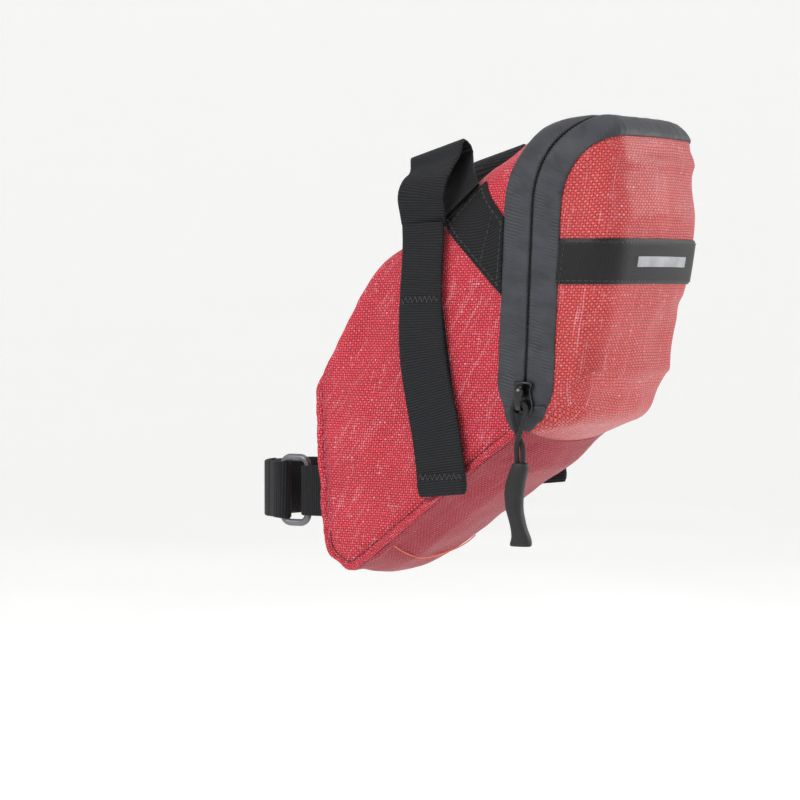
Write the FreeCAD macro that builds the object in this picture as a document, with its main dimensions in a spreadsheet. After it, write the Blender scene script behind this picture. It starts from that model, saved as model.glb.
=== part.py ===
import FreeCAD, Part
import math
import os
import Sketcher
from FreeCAD import Placement, Rotation, Vector

# Under-saddle bag. +Z runs up the seatpost, +X points rearward and +Y to the bike's right.
# The origin is on the seatpost's axis, at the middle of the seatpost strap. Lengths are in mm.

DIMS = {
    # side outline of the bag: corner positions and rounding radii
    "toe_x": 38, "toe_z": -29, "toe_round": 7,
    "shin_x": 26, "shin_z": -20, "shin_round": 12,
    "front_x": 20, "front_z": 41, "front_round": 12,
    "brow_x": 48, "brow_z": 89, "brow_round": 40,
    "crest_x": 122, "crest_z": 142, "crest_round": 30,
    "peak_x": 162, "peak_z": 144, "peak_round": 18,
    "heel_x": 147, "heel_z": 34, "heel_round": 13,
    "fold_x": 116, "fold_z": 28.5,
    # plan outline at the height of the light strap, and how far it leans back per mm of height
    "plan_z": 81, "lean": 0.14,
    "nose_x": 10, "nose_half": 28,
    "wide_x": 104, "half_width": 38.5,
    "tail_x": 150, "tail_round": 13,
    "rump_x": 155, "rump_round": 150,
    # rounding of the upper edges, seen from behind: over the sloping top and over its rear end
    "arch_half": 39, "arch_round": 16, "arch_low": -260,
    "slope_top": 54.9, "slope_run": 0.7162, "level_top": 144.2,
    "reach": 400,
    # layers of the wall, counted from the outer face of the fabric
    "fabric": 1.2, "foam": 2.0, "lining": 2.5, "tape": 1.0, "webbing": 1.2,
    # zip line on the side: its straight run and the bend over the top
    "zip_low_x": 112.08, "zip_low_z": -60,
    "zip_bend_x": 121.1, "zip_bend_z": 148.2, "zip_bend": 40,
    "zip_far": 260, "zip_over": 220,
    "half_gap": 0.5, "coil": 2.8, "tape_half": 11.5,
    "lining_setback": 4.2, "tape_start": 32.5,
    # patches that close the two lower ends of the zip
    "end_low": 22, "end_top": 32.3, "end_left": 104.8, "end_right": 127.6, "end_round": 7,
    "end_under": 1.3, "end_outer": 2.2,
    # beads along the front edge and the bottom seam
    "bead": 1.1, "bead_wide": 2.4,
    # strap round the rear that a light clips to, and the reflective stripe on it
    "band_low": 81, "band_high": 98, "band_start": 131,
    "stripe_low": 87.5, "stripe_high": 91.5, "stripe_half": 22, "stripe": 1.5,
    # hook-and-loop tapes and the hanging tails of the rail straps
    "loop_left": 64, "loop_right": 83, "loop_low": 14, "loop_high": 72, "loop_thick": 0.8,
    "hook_in": 2.0, "tail_in": 3.0, "tail_out": 4.6,
    "tail_top": 104, "tail_low": 1.5, "tail_bend": 51,
    "hook_low": 12, "hook_high": 76, "hook_inset": 2,
    # saddle rails
    "rail_x": 73, "rail_y": 25, "rail_z": 128, "rail_r": 3.5, "rail_tilt": 17,
    "rail_strap_wide": 24, "strap_thick": 1.6,
    # where each rail strap's two legs run: centre of the leg to the patch, then points of the leg to
    # the tail, which drops from the sleeve's outboard side
    "patch_x": 84.6, "patch_y": -33.6, "patch_z": 112.2,
    "wrap_down": 0.69, "wrap_in": 0.72,
    "shoulder_out": 10.6, "shoulder_down": 5.5, "drop_x": 72.6, "drop_y": -40.0, "drop_z": 113.5,
    "leg_x": 72.0, "leg_y": -38.6, "leg_clear": 0.4, "leg_narrower": 4,
    # seatpost strap, ring and tab
    "post_r": 13.6, "post_strap": 2.0, "post_strap_tall": 22.8,
    "ring_front": -2.7, "ring_rear": 8.7, "ring_y": -17.2, "ring_half_tall": 12.9,
    "ring_round": 3.5, "wire_r": 1.4, "fold_in": 1.5, "fold_out": 3.2,
    "tab_tall": 20, "tab_thick": 2.6, "leg_reach": 45,
    "flap_in": 17.0, "flap_out": 18.8, "flap_from": 176, "flap_to": 248,
    "flap_hook_in": 16.1, "flap_hook_from": 184, "flap_hook_to": 240,
    # zip slider, its crown and the pull
    "slider_z": 39.2, "slider_wide": 9, "slider_tall": 12.4, "slider_thick": 1.8,
    "slider_clear": 0.3, "neck_thick": 0.5, "neck_tall": 7, "wing_wide": 7, "wing_thick": 1.2,
    "wing_clear": 0.4, "wing_tall": 10, "zip_tilt": 2.484,
    "crown_wide": 3.0, "crown_low": 34.9, "crown_high": 44.0, "crown_thick": 3.8,
    "crown_round": 1.3, "eye_out": 1.6, "eye_z": 37.3, "eye_r": 1.5, "cord_r": 1.0,
    # corners of the zones that divide the bag's rim into front, bottom and top panels
    "core_x": 70, "core_z": 45, "under_x": -26, "under_z": -177,
    "ahead_x": -220, "ahead_z": 21.8, "behind_x": 260, "behind_z": -15, "above_z": 260,
    # slanted webbing patch on each side, sewn in beside the zip
    "anchor_a_x": 105.4, "anchor_a_z": 70, "anchor_b_x": 124.6, "anchor_b_z": 86,
    "anchor_c_x": 89.6, "anchor_c_z": 128, "anchor_d_x": 70.4, "anchor_d_z": 112,
    "anchor_inset": 11.8, "anchor_outboard": 30,
    # corners of the hanging tail: top, bend and hem
    "hang_top_left": 62, "hang_top_right": 82, "hang_bend_left": 61, "hang_bend_right": 83,
    "hem_left": 70.5, "hem_right": 93.5, "hem_rise": 2.5,
}

# Centreline of the pull cord: out of the grip, up through the crown's eye and back down.
CORD_ROUTE = [
    (116.0, -43.9, 14.6), (115.6, -43.8, 18.0), (115.7, -44.2, 21.6), (117.0, -44.8, 25.6),
    (118.9, -44.2, 30.6), (119.5, -43.2, 37.3), (113.1, -43.2, 37.3), (113.5, -42.9, 30.6),
    (115.3, -42.4, 25.6), (117.6, -42.9, 21.6), (118.2, -43.6, 18.0), (118.1, -43.9, 14.6),
]
# Cross-sections of the grip, top to bottom: centre x, centre z, half width, half thickness.
GRIP_SECTIONS = [
    (117.1, 14.6, 3.2, 2.6), (116.2, 11.0, 3.6, 2.8), (114.8, 5.0, 3.7, 3.0),
    (114.9, -2.0, 3.2, 2.9), (116.6, -8.5, 3.0, 2.8), (117.6, -12.5, 3.7, 2.9),
    (117.4, -15.4, 4.3, 2.7),
]
GRIP_Y = -43.9
AXIS = "axis"  # a corner with this in place of an alias lies on the mirror plane

doc = FreeCAD.newDocument("saddle_bag")
sheet = doc.addObject("Spreadsheet::Sheet", "dims")
for row, (alias, value) in enumerate(DIMS.items(), start=1):
    sheet.set(f"A{row}", alias)
    sheet.set(f"B{row}", str(value))
    sheet.setAlias(f"B{row}", alias)
doc.recompute()
cache = {}


def size(alias):
    """One driving dimension, as a number."""
    return float(sheet.get(alias))


def add(kind, name, label=None, **bound):
    """A document object whose properties are bound to expressions on the sheet."""
    obj = doc.addObject(kind, name)
    if label:
        obj.Label = label
    for prop, expression in bound.items():
        obj.setExpression(prop.replace("__", "."), expression)
    return obj


SIDE_VIEW = Rotation(Vector(1, 0, 0), 90)
REAR_VIEW = Rotation(Vector(0, 1, 0), Vector(0, 0, 1), Vector(1, 0, 0))
PLAN_VIEW = Rotation()


def outline(name, corners, facing=SIDE_VIEW):
    """A closed sketch through named corners; each corner is (x alias, y alias, radius alias)."""
    sketch = doc.addObject("Sketcher::SketchObject", name)
    sketch.Placement = Placement(Vector(0, 0, 0), facing)
    points = [Vector(value_of(a), value_of(b), 0) for a, b, _ in corners]
    count = len(points)
    for i, point in enumerate(points):
        sketch.addGeometry(Part.LineSegment(point, points[(i + 1) % count]), False)
    for i in range(count):
        sketch.addConstraint(Sketcher.Constraint("Coincident", i, 2, (i + 1) % count, 1))
    for i, (a, b, _) in enumerate(corners):
        for way, alias, value in (("DistanceX", a, points[i].x), ("DistanceY", b, points[i].y)):
            if alias == AXIS:
                sketch.addConstraint(Sketcher.Constraint("PointOnObject", i, 1, -1))
                continue
            made = sketch.addConstraint(Sketcher.Constraint(way, -1, 1, i, 1, value))
            sketch.setExpression(f"Constraints[{made}]", expression_of(alias))
    for i, (_, _, radius) in enumerate(corners):
        if radius is None:
            continue
        before, here, after = points[i - 1], points[i], points[(i + 1) % count]
        near = here + (before - here) * 0.1
        far = here + (after - here) * 0.1
        sketch.fillet((i - 1) % count, i, near, far, size(radius), True, True)
        arc = max(g for g in range(sketch.GeometryCount) if "Arc" in str(sketch.Geometry[g]))
        made = sketch.addConstraint(Sketcher.Constraint("Radius", arc, size(radius)))
        sketch.setExpression(f"Constraints[{made}]", expression_of(radius))
    return sketch


def value_of(alias):
    """The number behind an alias, which may carry a minus sign."""
    if alias == AXIS:
        return 0.0
    return -size(alias[1:]) if alias.startswith("-") else size(alias)


def expression_of(alias):
    """The sheet expression behind an alias, which may carry a minus sign."""
    return "-dims." + alias[1:] if alias.startswith("-") else "dims." + alias


def grown(sketch, by):
    """The sketch moved outward by an expression, or inward where it is negative."""
    if by == "0":
        return sketch
    moved = add("Part::Offset2D", sketch.Name + "_moved", Value=by)
    moved.Source = sketch
    moved.Join = "Intersection"
    return moved


def slab(profile):
    """An XZ profile extended across the whole width."""
    made = add("Part::Extrusion", profile.Name + "_slab", LengthFwd="dims.reach")
    made.Base = profile
    made.DirMode = "Custom"
    made.Dir = Vector(0, 1, 0)
    made.Solid = True
    made.Symmetric = True
    return made


def once(key, make):
    """Makes a shared construction solid the first time that it is asked for."""
    if key not in cache:
        cache[key] = make()
    return cache[key]


def side_prism(by="0"):
    return once(("side", by), lambda: slab(grown(side_sketch, by)))


def plan_prism(by="0"):
    def make():
        made = add("Part::Extrusion", "plan_prism", LengthFwd="dims.reach", Dir__x="dims.lean")
        made.Base = grown(plan_sketch, by)
        made.DirMode = "Custom"
        made.Dir = Vector(size("lean"), 0, 1)
        made.Solid = True
        made.Symmetric = True
        return made

    return once(("plan", by), make)


def zone(sketch, by="0"):
    return once((sketch.Name, by), lambda: slab(grown(sketch, by)))


def common(*shapes, label=None):
    made = add("Part::MultiCommon", "common", label)
    made.Shapes = list(shapes)
    return made


def cut(base, tool, label=None):
    made = add("Part::Cut", "cut", label)
    made.Base = base
    made.Tool = tool
    return made


def fuse(*shapes, label=None):
    made = add("Part::MultiFuse", "fuse", label)
    made.Shapes = list(shapes)
    return made


def mirrored(source, label):
    """The same piece on the bike's right."""
    made = add("Part::Mirroring", "mirrored", label)
    made.Source = source
    made.Normal = Vector(0, 1, 0)
    return made


def arch_prism(top, run, by):
    """The rounded cross-section under a top level, drawn out along a slope of rise over run."""
    def make():
        sketch = outline("arch", [
            ("-arch_half", "arch_low", None), ("arch_half", "arch_low", None),
            ("arch_half", top, "arch_round"), ("-arch_half", top, "arch_round"),
        ], facing=REAR_VIEW)
        made = add("Part::Extrusion", "arch_prism", LengthFwd="dims.reach")
        made.Base = grown(sketch, by)
        made.DirMode = "Custom"
        made.Dir = Vector(1, 0, run)
        made.Solid = True
        made.Symmetric = True
        return made

    return once((top, by), make)


def envelope(by="0"):
    """The bag's whole outer form, moved outward by an expression."""
    def make():
        sloping = arch_prism("slope_top", size("slope_run"), by)
        return common(side_prism(by), plan_prism(by), sloping, arch_prism("level_top", 0, by))

    return once(("envelope", by), make)


def layer(outer, inner):
    """The skin between two offsets of the bag's surface."""
    return once(("layer", outer, inner), lambda: cut(envelope(outer), envelope(inner)))


def side_layer(outer, inner):
    """The part of a skin that lies on the two sides only."""
    def make():
        return cut(common(plan_prism(outer), side_prism()), plan_prism(inner))

    return once(("side_layer", outer, inner), make)


def block(name, low, high):
    """A box between two corners, each given as three expressions."""
    made = add("Part::Box", name)
    for prop, a, b in zip(("Length", "Width", "Height"), low, high):
        made.setExpression(prop, f"({b}) - ({a})")
    for axis, a in zip("xyz", low):
        made.setExpression(f"Placement.Base.{axis}", a)
    return made


def half_space(side):
    """Everything on the bike's left (side -1)."""
    return once(("half", side), lambda: block(
        "half_space", ("-dims.reach", "-dims.reach", "-dims.reach"), ("dims.reach", "0", "dims.reach")))


def above(level):
    return once(("above", level), lambda: block(
        "above", ("-dims.reach", "-dims.reach", level), ("dims.reach", "dims.reach", "dims.reach")))


side_sketch = outline("side_outline", [
    ("toe_x", "toe_z", "toe_round"), ("shin_x", "shin_z", "shin_round"),
    ("front_x", "front_z", "front_round"), ("brow_x", "brow_z", "brow_round"),
    ("crest_x", "crest_z", "crest_round"), ("peak_x", "peak_z", "peak_round"),
    ("heel_x", "heel_z", "heel_round"), ("fold_x", "fold_z", None),
])
plan_sketch = outline("plan_outline", [
    ("nose_x", "-nose_half", None), ("wide_x", "-half_width", None),
    ("tail_x", "-half_width", "tail_round"), ("rump_x", AXIS, "rump_round"),
    ("tail_x", "half_width", "tail_round"), ("wide_x", "half_width", None),
    ("nose_x", "nose_half", None),
], facing=PLAN_VIEW)
plan_sketch.setExpression("Placement.Base.z", "dims.plan_z")
body_sketch = outline("body_zone", [
    ("-zip_over", "zip_low_z", None), ("zip_low_x", "zip_low_z", None),
    ("zip_bend_x", "zip_bend_z", "zip_bend"), ("zip_far", "zip_bend_z", None),
    ("zip_far", "zip_over", None), ("-zip_over", "zip_over", None),
])
lid_sketch = outline("lid_zone", [
    ("zip_low_x", "zip_low_z", None), ("zip_far", "zip_low_z", None),
    ("zip_far", "zip_bend_z", None), ("zip_bend_x", "zip_bend_z", "zip_bend"),
])
front_zone = slab(outline("front_zone", [
    ("core_x", "core_z", None), ("under_x", "under_z", None),
    ("ahead_x", "under_z", None), ("ahead_x", "ahead_z", None),
]))
bottom_zone = slab(outline("bottom_zone", [
    ("core_x", "core_z", None), ("under_x", "under_z", None),
    ("behind_x", "under_z", None), ("behind_x", "behind_z", None),
]))
top_zone = slab(outline("top_zone", [
    ("core_x", "core_z", None), ("behind_x", "behind_z", None), ("behind_x", "above_z", None),
    ("ahead_x", "above_z", None), ("ahead_x", "ahead_z", None),
]))
doc.recompute()

LEFT = half_space(-1)
ZIPPED = above("dims.tape_start")


def beside_zip(sketch, near, far):
    """The strip of the zip between two distances from its line, above its lower ends."""
    def make():
        return common(cut(zone(sketch, near), zone(sketch, far)), ZIPPED)

    return once((sketch.Name, near, far), make)


def fabric_area(sketch):
    """One side of the zip line, less the pocket where the coil lies."""
    coil = beside_zip(sketch, "-dims.half_gap", "-dims.coil")
    return once((sketch.Name, "fabric"), lambda: cut(zone(sketch, "-dims.half_gap"), coil))


def shell_panels():
    """The sewn outer fabric: two sides, three rim panels, and the lid in one piece."""
    shell = layer("0", "-dims.fabric")
    beside = cut(side_prism("-dims.fabric"), plan_prism("-dims.fabric"))
    rim, sides = cut(shell, beside), common(shell, beside)
    area = fabric_area(body_sketch)
    left = common(sides, area, LEFT, label="side_panel_left")
    return [
        left,
        mirrored(left, "side_panel_right"),
        common(rim, front_zone, label="front_panel"),
        common(rim, bottom_zone, area, label="bottom_panel"),
        common(rim, top_zone, area, label="top_panel"),
        common(layer("0", "-dims.fabric"), fabric_area(lid_sketch), label="rear_lid"),
    ]


def inner_layers():
    """Foam in the sides and lid, the base's stiffener, and the lining."""
    near, far = "-dims.fabric", "-dims.foam"
    behind = zone(body_sketch, "-dims.lining_setback")
    lid = zone(lid_sketch, "-dims.lining_setback")
    beside = cut(side_prism(far), plan_prism(far))
    rim = cut(layer(near, far), beside)
    foam = common(layer(near, far), beside, behind, LEFT, label="foam_left")
    return [
        foam,
        mirrored(foam, "foam_right"),
        common(rim, bottom_zone, behind, label="base_stiffener"),
        common(layer(near, far), lid, label="lid_foam"),
        common(layer(far, "-dims.lining"), behind, label="lining_body"),
        common(layer(far, "-dims.lining"), lid, label="lining_lid"),
    ]


def zip_tapes():
    """Coated tapes on the fabric's face, coils in its cut edge, and the end patches."""
    made = []
    for sketch, where in ((body_sketch, "body"), (lid_sketch, "lid")):
        tape = beside_zip(sketch, "-dims.half_gap", "-dims.tape_half")
        coil = beside_zip(sketch, "-dims.half_gap", "-dims.coil")
        made.append(common(layer("dims.tape", "0"), tape, label=f"zip_tape_{where}"))
        made.append(common(layer("0", "-dims.fabric"), coil, label=f"zip_coil_{where}"))
    patch = slab(outline("zip_end", [
        ("end_left", "end_top", None), ("end_left", "end_low", "end_round"),
        ("end_right", "end_low", "end_round"), ("end_right", "end_top", None),
    ]))
    face = common(side_layer("dims.end_outer", "dims.end_under"), patch, LEFT)
    root = common(side_layer("dims.end_under", "0"), patch, zone(body_sketch, "-dims.half_gap"), LEFT)
    left = fuse(face, root, label="zip_end_left")
    return made + [left, mirrored(left, "zip_end_right")]


def edge_beads():
    """The rolled edge along the front corner and the bottom seam of each side."""
    rim = cut(common(side_prism("dims.bead"), plan_prism()), side_prism())
    edge = cut(rim, plan_prism("-dims.bead_wide"))
    run = fuse(front_zone, bottom_zone)
    left = common(edge, run, zone(body_sketch, "-dims.half_gap"), LEFT, label="piping_left")
    return [left, mirrored(left, "piping_right")]


def light_loop():
    """Webbing sewn round the rear for a clip-on light, with a reflective stripe."""
    band = block("band", ("dims.band_start", "-dims.reach", "dims.band_low"),
                 ("dims.reach", "dims.reach", "dims.band_high"))
    stripe = block("stripe", ("dims.band_start", "-dims.stripe_half", "dims.stripe_low"),
                   ("dims.reach", "dims.stripe_half", "dims.stripe_high"))
    return [
        common(layer("dims.webbing", "0"), band, label="light_strap"),
        common(layer("dims.stripe", "dims.webbing"), stripe, label="reflective_strip"),
    ]


def side_straps():
    """On each side: the sewn patch, the loop tape, and the hanging tail with its hook tape."""
    anchor = slab(outline("anchor", [
        ("anchor_a_x", "anchor_a_z", None), ("anchor_b_x", "anchor_b_z", None),
        ("anchor_c_x", "anchor_c_z", None), ("anchor_d_x", "anchor_d_z", None),
    ]))
    hanging = slab(outline("hanging_tail", [
        ("hang_top_left", "tail_top", None), ("hang_bend_left", "tail_bend", None),
        ("hem_left", "tail_low", None), ("hem_right", "hem_rise", None),
        ("hang_bend_right", "tail_bend", None), ("hang_top_right", "tail_top", None),
    ]))
    loop_area = block("loop_area", ("dims.loop_left", "-dims.reach", "dims.loop_low"),
                      ("dims.loop_right", "0", "dims.loop_high"))
    hook_area = block("hook_area", ("-dims.reach", "-dims.reach", "dims.hook_low"),
                      ("dims.reach", "0", "dims.hook_high"))
    narrowed = slab(grown(hanging.Base, "-dims.hook_inset"))
    outboard = block("outboard", ("-dims.reach", "-dims.reach", "-dims.reach"),
                     ("dims.reach", "-dims.anchor_outboard", "dims.reach"))
    patch = common(layer("dims.webbing", "0"), anchor, zone(body_sketch, "-dims.anchor_inset"),
                   outboard, label="strap_anchor_left")
    loop = common(side_layer("dims.loop_thick", "0"), loop_area, label="loop_tape_left")
    tail = common(cut(plan_prism("dims.tail_out"), plan_prism("dims.tail_in")), hanging, LEFT,
                  label="strap_tail_left")
    hook = common(cut(plan_prism("dims.tail_in"), plan_prism("dims.hook_in")), narrowed, hook_area,
                  label="hook_tape_left")
    made = []
    for piece in (patch, loop, tail, hook):
        made += [piece, mirrored(piece, piece.Label.replace("left", "right"))]
    return made


def ribbon(sections, wide, thick):
    """A flat strap through sections of (centre, width direction, face normal)."""
    wires = []
    for centre, across, normal in sections:
        a = Vector(*across).normalize() * (wide / 2)
        n = Vector(*normal).normalize() * (thick / 2)
        corners = [centre - a - n, centre + a - n, centre + a + n, centre - a + n]
        wires.append(Part.makePolygon(corners + corners[:1]))
    return Part.makeLoft(wires, True, True)


def rail_straps(patch):
    """A sleeve round each saddle rail, one leg to the sewn patch and one to the tail."""
    tilt = math.radians(size("rail_tilt"))
    along = Vector(math.cos(tilt), 0, math.sin(tilt))
    down = Vector(along.z, 0, -along.x)
    outboard = Vector(0, -1, 0)
    hub = Vector(size("rail_x"), -size("rail_y"), size("rail_z"))
    wide, thick = size("rail_strap_wide"), size("strap_thick")
    inner, outer = size("rail_r"), size("rail_r") + thick
    middle = (inner + outer) / 2
    sleeve = Part.makeCylinder(outer, wide, hub - along * (wide / 2), along)
    bore = Part.makeCylinder(inner, 2 * wide, hub - along * wide, along)
    under = hub + (down * size("wrap_down") - outboard * size("wrap_in")) * middle
    to_patch = ribbon([
        (Vector(size("patch_x"), size("patch_y"), size("patch_z")), (0.77, 0, 0.64), (-0.2, 0.7, -0.7)),
        (under, tuple(along), (0.2, size("wrap_down"), -size("wrap_in"))),
    ], wide, thick)
    shoulder = hub + outboard * size("shoulder_out") + down * size("shoulder_down")
    foot_z = size("tail_top") + size("leg_clear")
    to_tail = ribbon([
        (hub + outboard * middle, tuple(along), (0, 1, 0)),
        (shoulder, tuple(along), (0, 0.7, 0.7)),
        (Vector(size("drop_x"), size("drop_y"), size("drop_z")), (1, 0, 0.15), (0, 1, 0.1)),
        (Vector(size("leg_x"), size("leg_y"), foot_z), (1, 0, 0), (0, 1, 0)),
    ], wide - size("leg_narrower"), thick)
    strap = doc.addObject("Part::Feature", "rail_strap")
    strap.Shape = sleeve.fuse([to_patch, to_tail]).cut(bore).removeSplitter()
    left = cut(cut(strap, envelope()), patch, label="rail_strap_left")
    return [left, mirrored(left, "rail_strap_right")]


def curved(name, inner, outer, tall, start=None, sweep=None, at=("0", "0")):
    """An upright sleeve, or a sector of one, centred on the level of the origin."""
    solids = []
    for radius in (outer, inner):
        made = add("Part::Cylinder", name, Radius=radius, Height=tall)
        if sweep is not None:
            made.setExpression("Angle", sweep)
            made.Placement = Placement(Vector(0, 0, 0), Rotation(Vector(0, 0, 1), 1))
            made.setExpression("Placement.Rotation.Angle", start)
        made.setExpression("Placement.Base.x", at[0])
        made.setExpression("Placement.Base.y", at[1])
        made.setExpression("Placement.Base.z", f"-({tall}) / 2")
        solids.append(made)
    return solids


def seatpost_pieces():
    """Strap round the seatpost, the ring that it folds through, the ring's tab and the flap."""
    tall = "dims.post_strap_tall"
    front, rear = ("dims.ring_front", "dims.ring_y"), ("dims.ring_rear", "dims.ring_y")
    wrap = cut(*curved("wrap", "dims.post_r", "dims.post_r + dims.post_strap", tall, "90", "168"))
    fold_out, fold_in = curved("fold", "dims.fold_in", "dims.fold_out", tall, at=front)
    leg = block("leg", ("0", "dims.post_r", f"-{tall} / 2"),
                ("dims.leg_reach", "dims.post_r + dims.post_strap", f"{tall} / 2"))
    strap = cut(fuse(cut(wrap, fold_out), cut(fold_out, fold_in), leg), envelope(), label="post_strap")

    tab_out, tab_in = curved("tab_fold", "dims.fold_in", "dims.fold_in + dims.tab_thick / 2",
                             "dims.tab_tall", at=rear)
    half, low = "dims.tab_thick / 2", "-dims.tab_tall / 2"
    flat = block("tab_flat", ("dims.ring_rear", f"dims.ring_y - {half}", low),
                 ("dims.leg_reach", f"dims.ring_y + {half}", "dims.tab_tall / 2"))
    tab = cut(cut(fuse(tab_out, flat), tab_in), envelope(), label="post_tab")

    path = outline("ring_path", [
        ("ring_front", "-ring_half_tall", "ring_round"), ("ring_rear", "-ring_half_tall", "ring_round"),
        ("ring_rear", "ring_half_tall", "ring_round"), ("ring_front", "ring_half_tall", "ring_round"),
    ])
    doc.recompute()
    wire = Part.Wire(Part.__sortEdges__(path.Shape.Edges))
    first = wire.OrderedEdges[0]
    tangent = first.tangentAt(first.FirstParameter)
    bar = Part.Wire(Part.makeCircle(size("wire_r"), first.valueAt(first.FirstParameter), tangent))
    ring = doc.addObject("Part::Feature", "post_ring")
    ring.Label = "post_ring"
    ring.Shape = wire.makePipeShell([bar], True, True)
    ring.Placement = Placement(Vector(0, size("ring_y"), 0), Rotation())

    flap = cut(*curved("flap", "dims.flap_in", "dims.flap_out", tall, "dims.flap_from",
                       "dims.flap_to - dims.flap_from"), label="post_flap")
    hook = cut(*curved("flap_hook", "dims.flap_hook_in", "dims.flap_in", "dims.tab_tall",
                       "dims.flap_hook_from", "dims.flap_hook_to - dims.flap_hook_from"),
               label="flap_hook_tape")
    return [strap, tab, ring, flap, hook]


def zip_slider():
    """Outer plate, neck through the slit and inner wing as one casting, and the crown on it."""
    face = "(dims.half_width + dims.tape + dims.slider_clear)"
    inside = "(dims.half_width - dims.fabric - dims.wing_clear)"
    line_x = size("zip_low_x") + (size("slider_z") - size("zip_low_z")) * math.tan(
        math.radians(size("zip_tilt")))

    def slab_at(name, wide, tall, near, far):
        made = add("Part::Box", name, Length=wide, Height=tall, Width=f"{far} - {near}")
        made.Placement = Placement(Vector(0, 0, 0), Rotation(Vector(0, 1, 0), 1))
        made.setExpression("Placement.Rotation.Angle", "dims.zip_tilt")
        made.setExpression("Placement.Base.x", f"{line_x} - ({wide}) / 2")
        made.setExpression("Placement.Base.y", f"-({far})")
        made.setExpression("Placement.Base.z", f"dims.slider_z - ({tall}) / 2")
        return made

    plate = slab_at("plate", "dims.slider_wide", "dims.slider_tall", face,
                    f"({face} + dims.slider_thick)")
    neck = slab_at("neck", "dims.neck_thick", "dims.neck_tall", f"({inside} - dims.wing_thick)",
                   f"({face} + dims.slider_thick)")
    wing = slab_at("wing", "dims.wing_wide", "dims.wing_tall", f"({inside} - dims.wing_thick)", inside)
    lump = slab_at("lump", "dims.crown_wide", "dims.crown_high - dims.crown_low",
                   f"({face} + dims.slider_thick)", f"({face} + dims.slider_thick + dims.crown_thick)")
    doc.recompute()
    outermost = lump.Shape.BoundBox.YMin
    rounded = add("Part::Fillet", "crown_rounded")
    rounded.Base = lump
    rounded.Edges = [
        (number, size("crown_round"), size("crown_round"))
        for number, edge in enumerate(lump.Shape.Edges, start=1)
        if abs(edge.CenterOfMass.y - outermost) < 0.01
    ]
    eye = add("Part::Cylinder", "eye", Radius="dims.eye_r", Height="dims.core_x")
    eye.Placement = Placement(Vector(0, 0, 0), Rotation(Vector(0, 1, 0), 90))
    eye.setExpression("Placement.Base.x", f"{line_x} - dims.core_x / 2")
    eye.setExpression("Placement.Base.y", f"-({face} + dims.slider_thick + dims.eye_out)")
    eye.setExpression("Placement.Base.z", "dims.eye_z")
    return [fuse(plate, neck, wing, label="zip_slider"), cut(rounded, eye, label="slider_crown")]


def smooth_path(points):
    """Straight runs joined by tangent arcs, each as large as its two runs allow."""
    points = [Vector(*p) for p in points]
    edges, start = [], points[0]
    for before, here, after in zip(points, points[1:], points[2:]):
        back, ahead = (before - here), (after - here)
        reach = 0.45 * min(back.Length, ahead.Length)
        turn = math.pi - back.getAngle(ahead)
        radius = reach / math.tan(turn / 2)
        one, two = here + back.normalize() * reach, here + ahead.normalize() * reach
        bisector = (back + ahead).normalize()
        middle = here + bisector * (radius / math.cos(turn / 2) - radius)
        edges.append(Part.LineSegment(start, one).toShape())
        edges.append(Part.Arc(one, middle, two).toShape())
        print(f"cord bend: radius {radius:.1f} mm, turn {math.degrees(turn):.0f} degrees")
        start = two
    edges.append(Part.LineSegment(start, points[-1]).toShape())
    return Part.Wire(edges)


def zip_pull():
    """The cord through the crown's eye and the moulded grip on its two ends."""
    path = smooth_path(CORD_ROUTE)
    first = path.OrderedEdges[0]
    section = Part.Wire(Part.makeCircle(size("cord_r"), Vector(*CORD_ROUTE[0]), first.tangentAt(0)))
    cord = doc.addObject("Part::Feature", "pull_cord")
    cord.Label = "pull_cord"
    cord.Shape = path.makePipeShell([section], True, False)
    expected = math.pi * size("cord_r") ** 2 * path.Length
    print(f"cord: {path.Length:.1f} mm long, volume {cord.Shape.Volume:.1f} of {expected:.1f} mm3")
    rings = []
    for x, z, half_wide, half_thick in GRIP_SECTIONS:
        ring = doc.addObject("Part::Ellipse", "grip_section")
        ring.MajorRadius = half_wide
        ring.MinorRadius = half_thick
        ring.Placement = Placement(Vector(x, GRIP_Y, z), Rotation())
        rings.append(ring)
    grip = add("Part::Loft", "grip", "pull_grip")
    grip.Sections = rings
    grip.Solid = True
    return [cord, grip]


STRAPS = side_straps()
NODES = (shell_panels() + inner_layers() + zip_tapes() + edge_beads() + light_loop() + STRAPS
         + rail_straps(STRAPS[0]) + seatpost_pieces() + zip_slider() + zip_pull())
doc.recompute()
for obj in doc.Objects:
    if any(word in obj.State for word in ("Invalid", "Error")):
        raise SystemExit(f"{obj.Name} failed to compute: {obj.State}")
os.makedirs("parts", exist_ok=True)
for node in NODES:
    shape = node.Shape
    if shape.isNull() or not shape.isValid() or not shape.Solids:
        raise SystemExit(f"{node.Label} has no valid solid")
    shape.exportStep(f"parts/{node.Label}.step")
    print(f"{node.Label}: {len(shape.Solids)} solid, {shape.Volume / 1000:.2f} cm3")
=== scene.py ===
import math
from functools import partialmethod

import bmesh
import bpy
import numpy as np
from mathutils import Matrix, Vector
from mathutils.bvhtree import BVHTree


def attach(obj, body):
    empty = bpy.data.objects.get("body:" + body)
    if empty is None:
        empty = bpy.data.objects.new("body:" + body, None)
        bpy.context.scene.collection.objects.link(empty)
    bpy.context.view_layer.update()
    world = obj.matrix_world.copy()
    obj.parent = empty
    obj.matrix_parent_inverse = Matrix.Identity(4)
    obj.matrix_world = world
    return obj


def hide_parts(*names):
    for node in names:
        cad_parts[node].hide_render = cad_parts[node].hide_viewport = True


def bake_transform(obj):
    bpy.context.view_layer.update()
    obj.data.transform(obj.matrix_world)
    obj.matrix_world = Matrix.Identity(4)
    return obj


# Looks of the under-saddle bag. Lengths are in millimetres until a mesh is made, then in metres.

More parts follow.
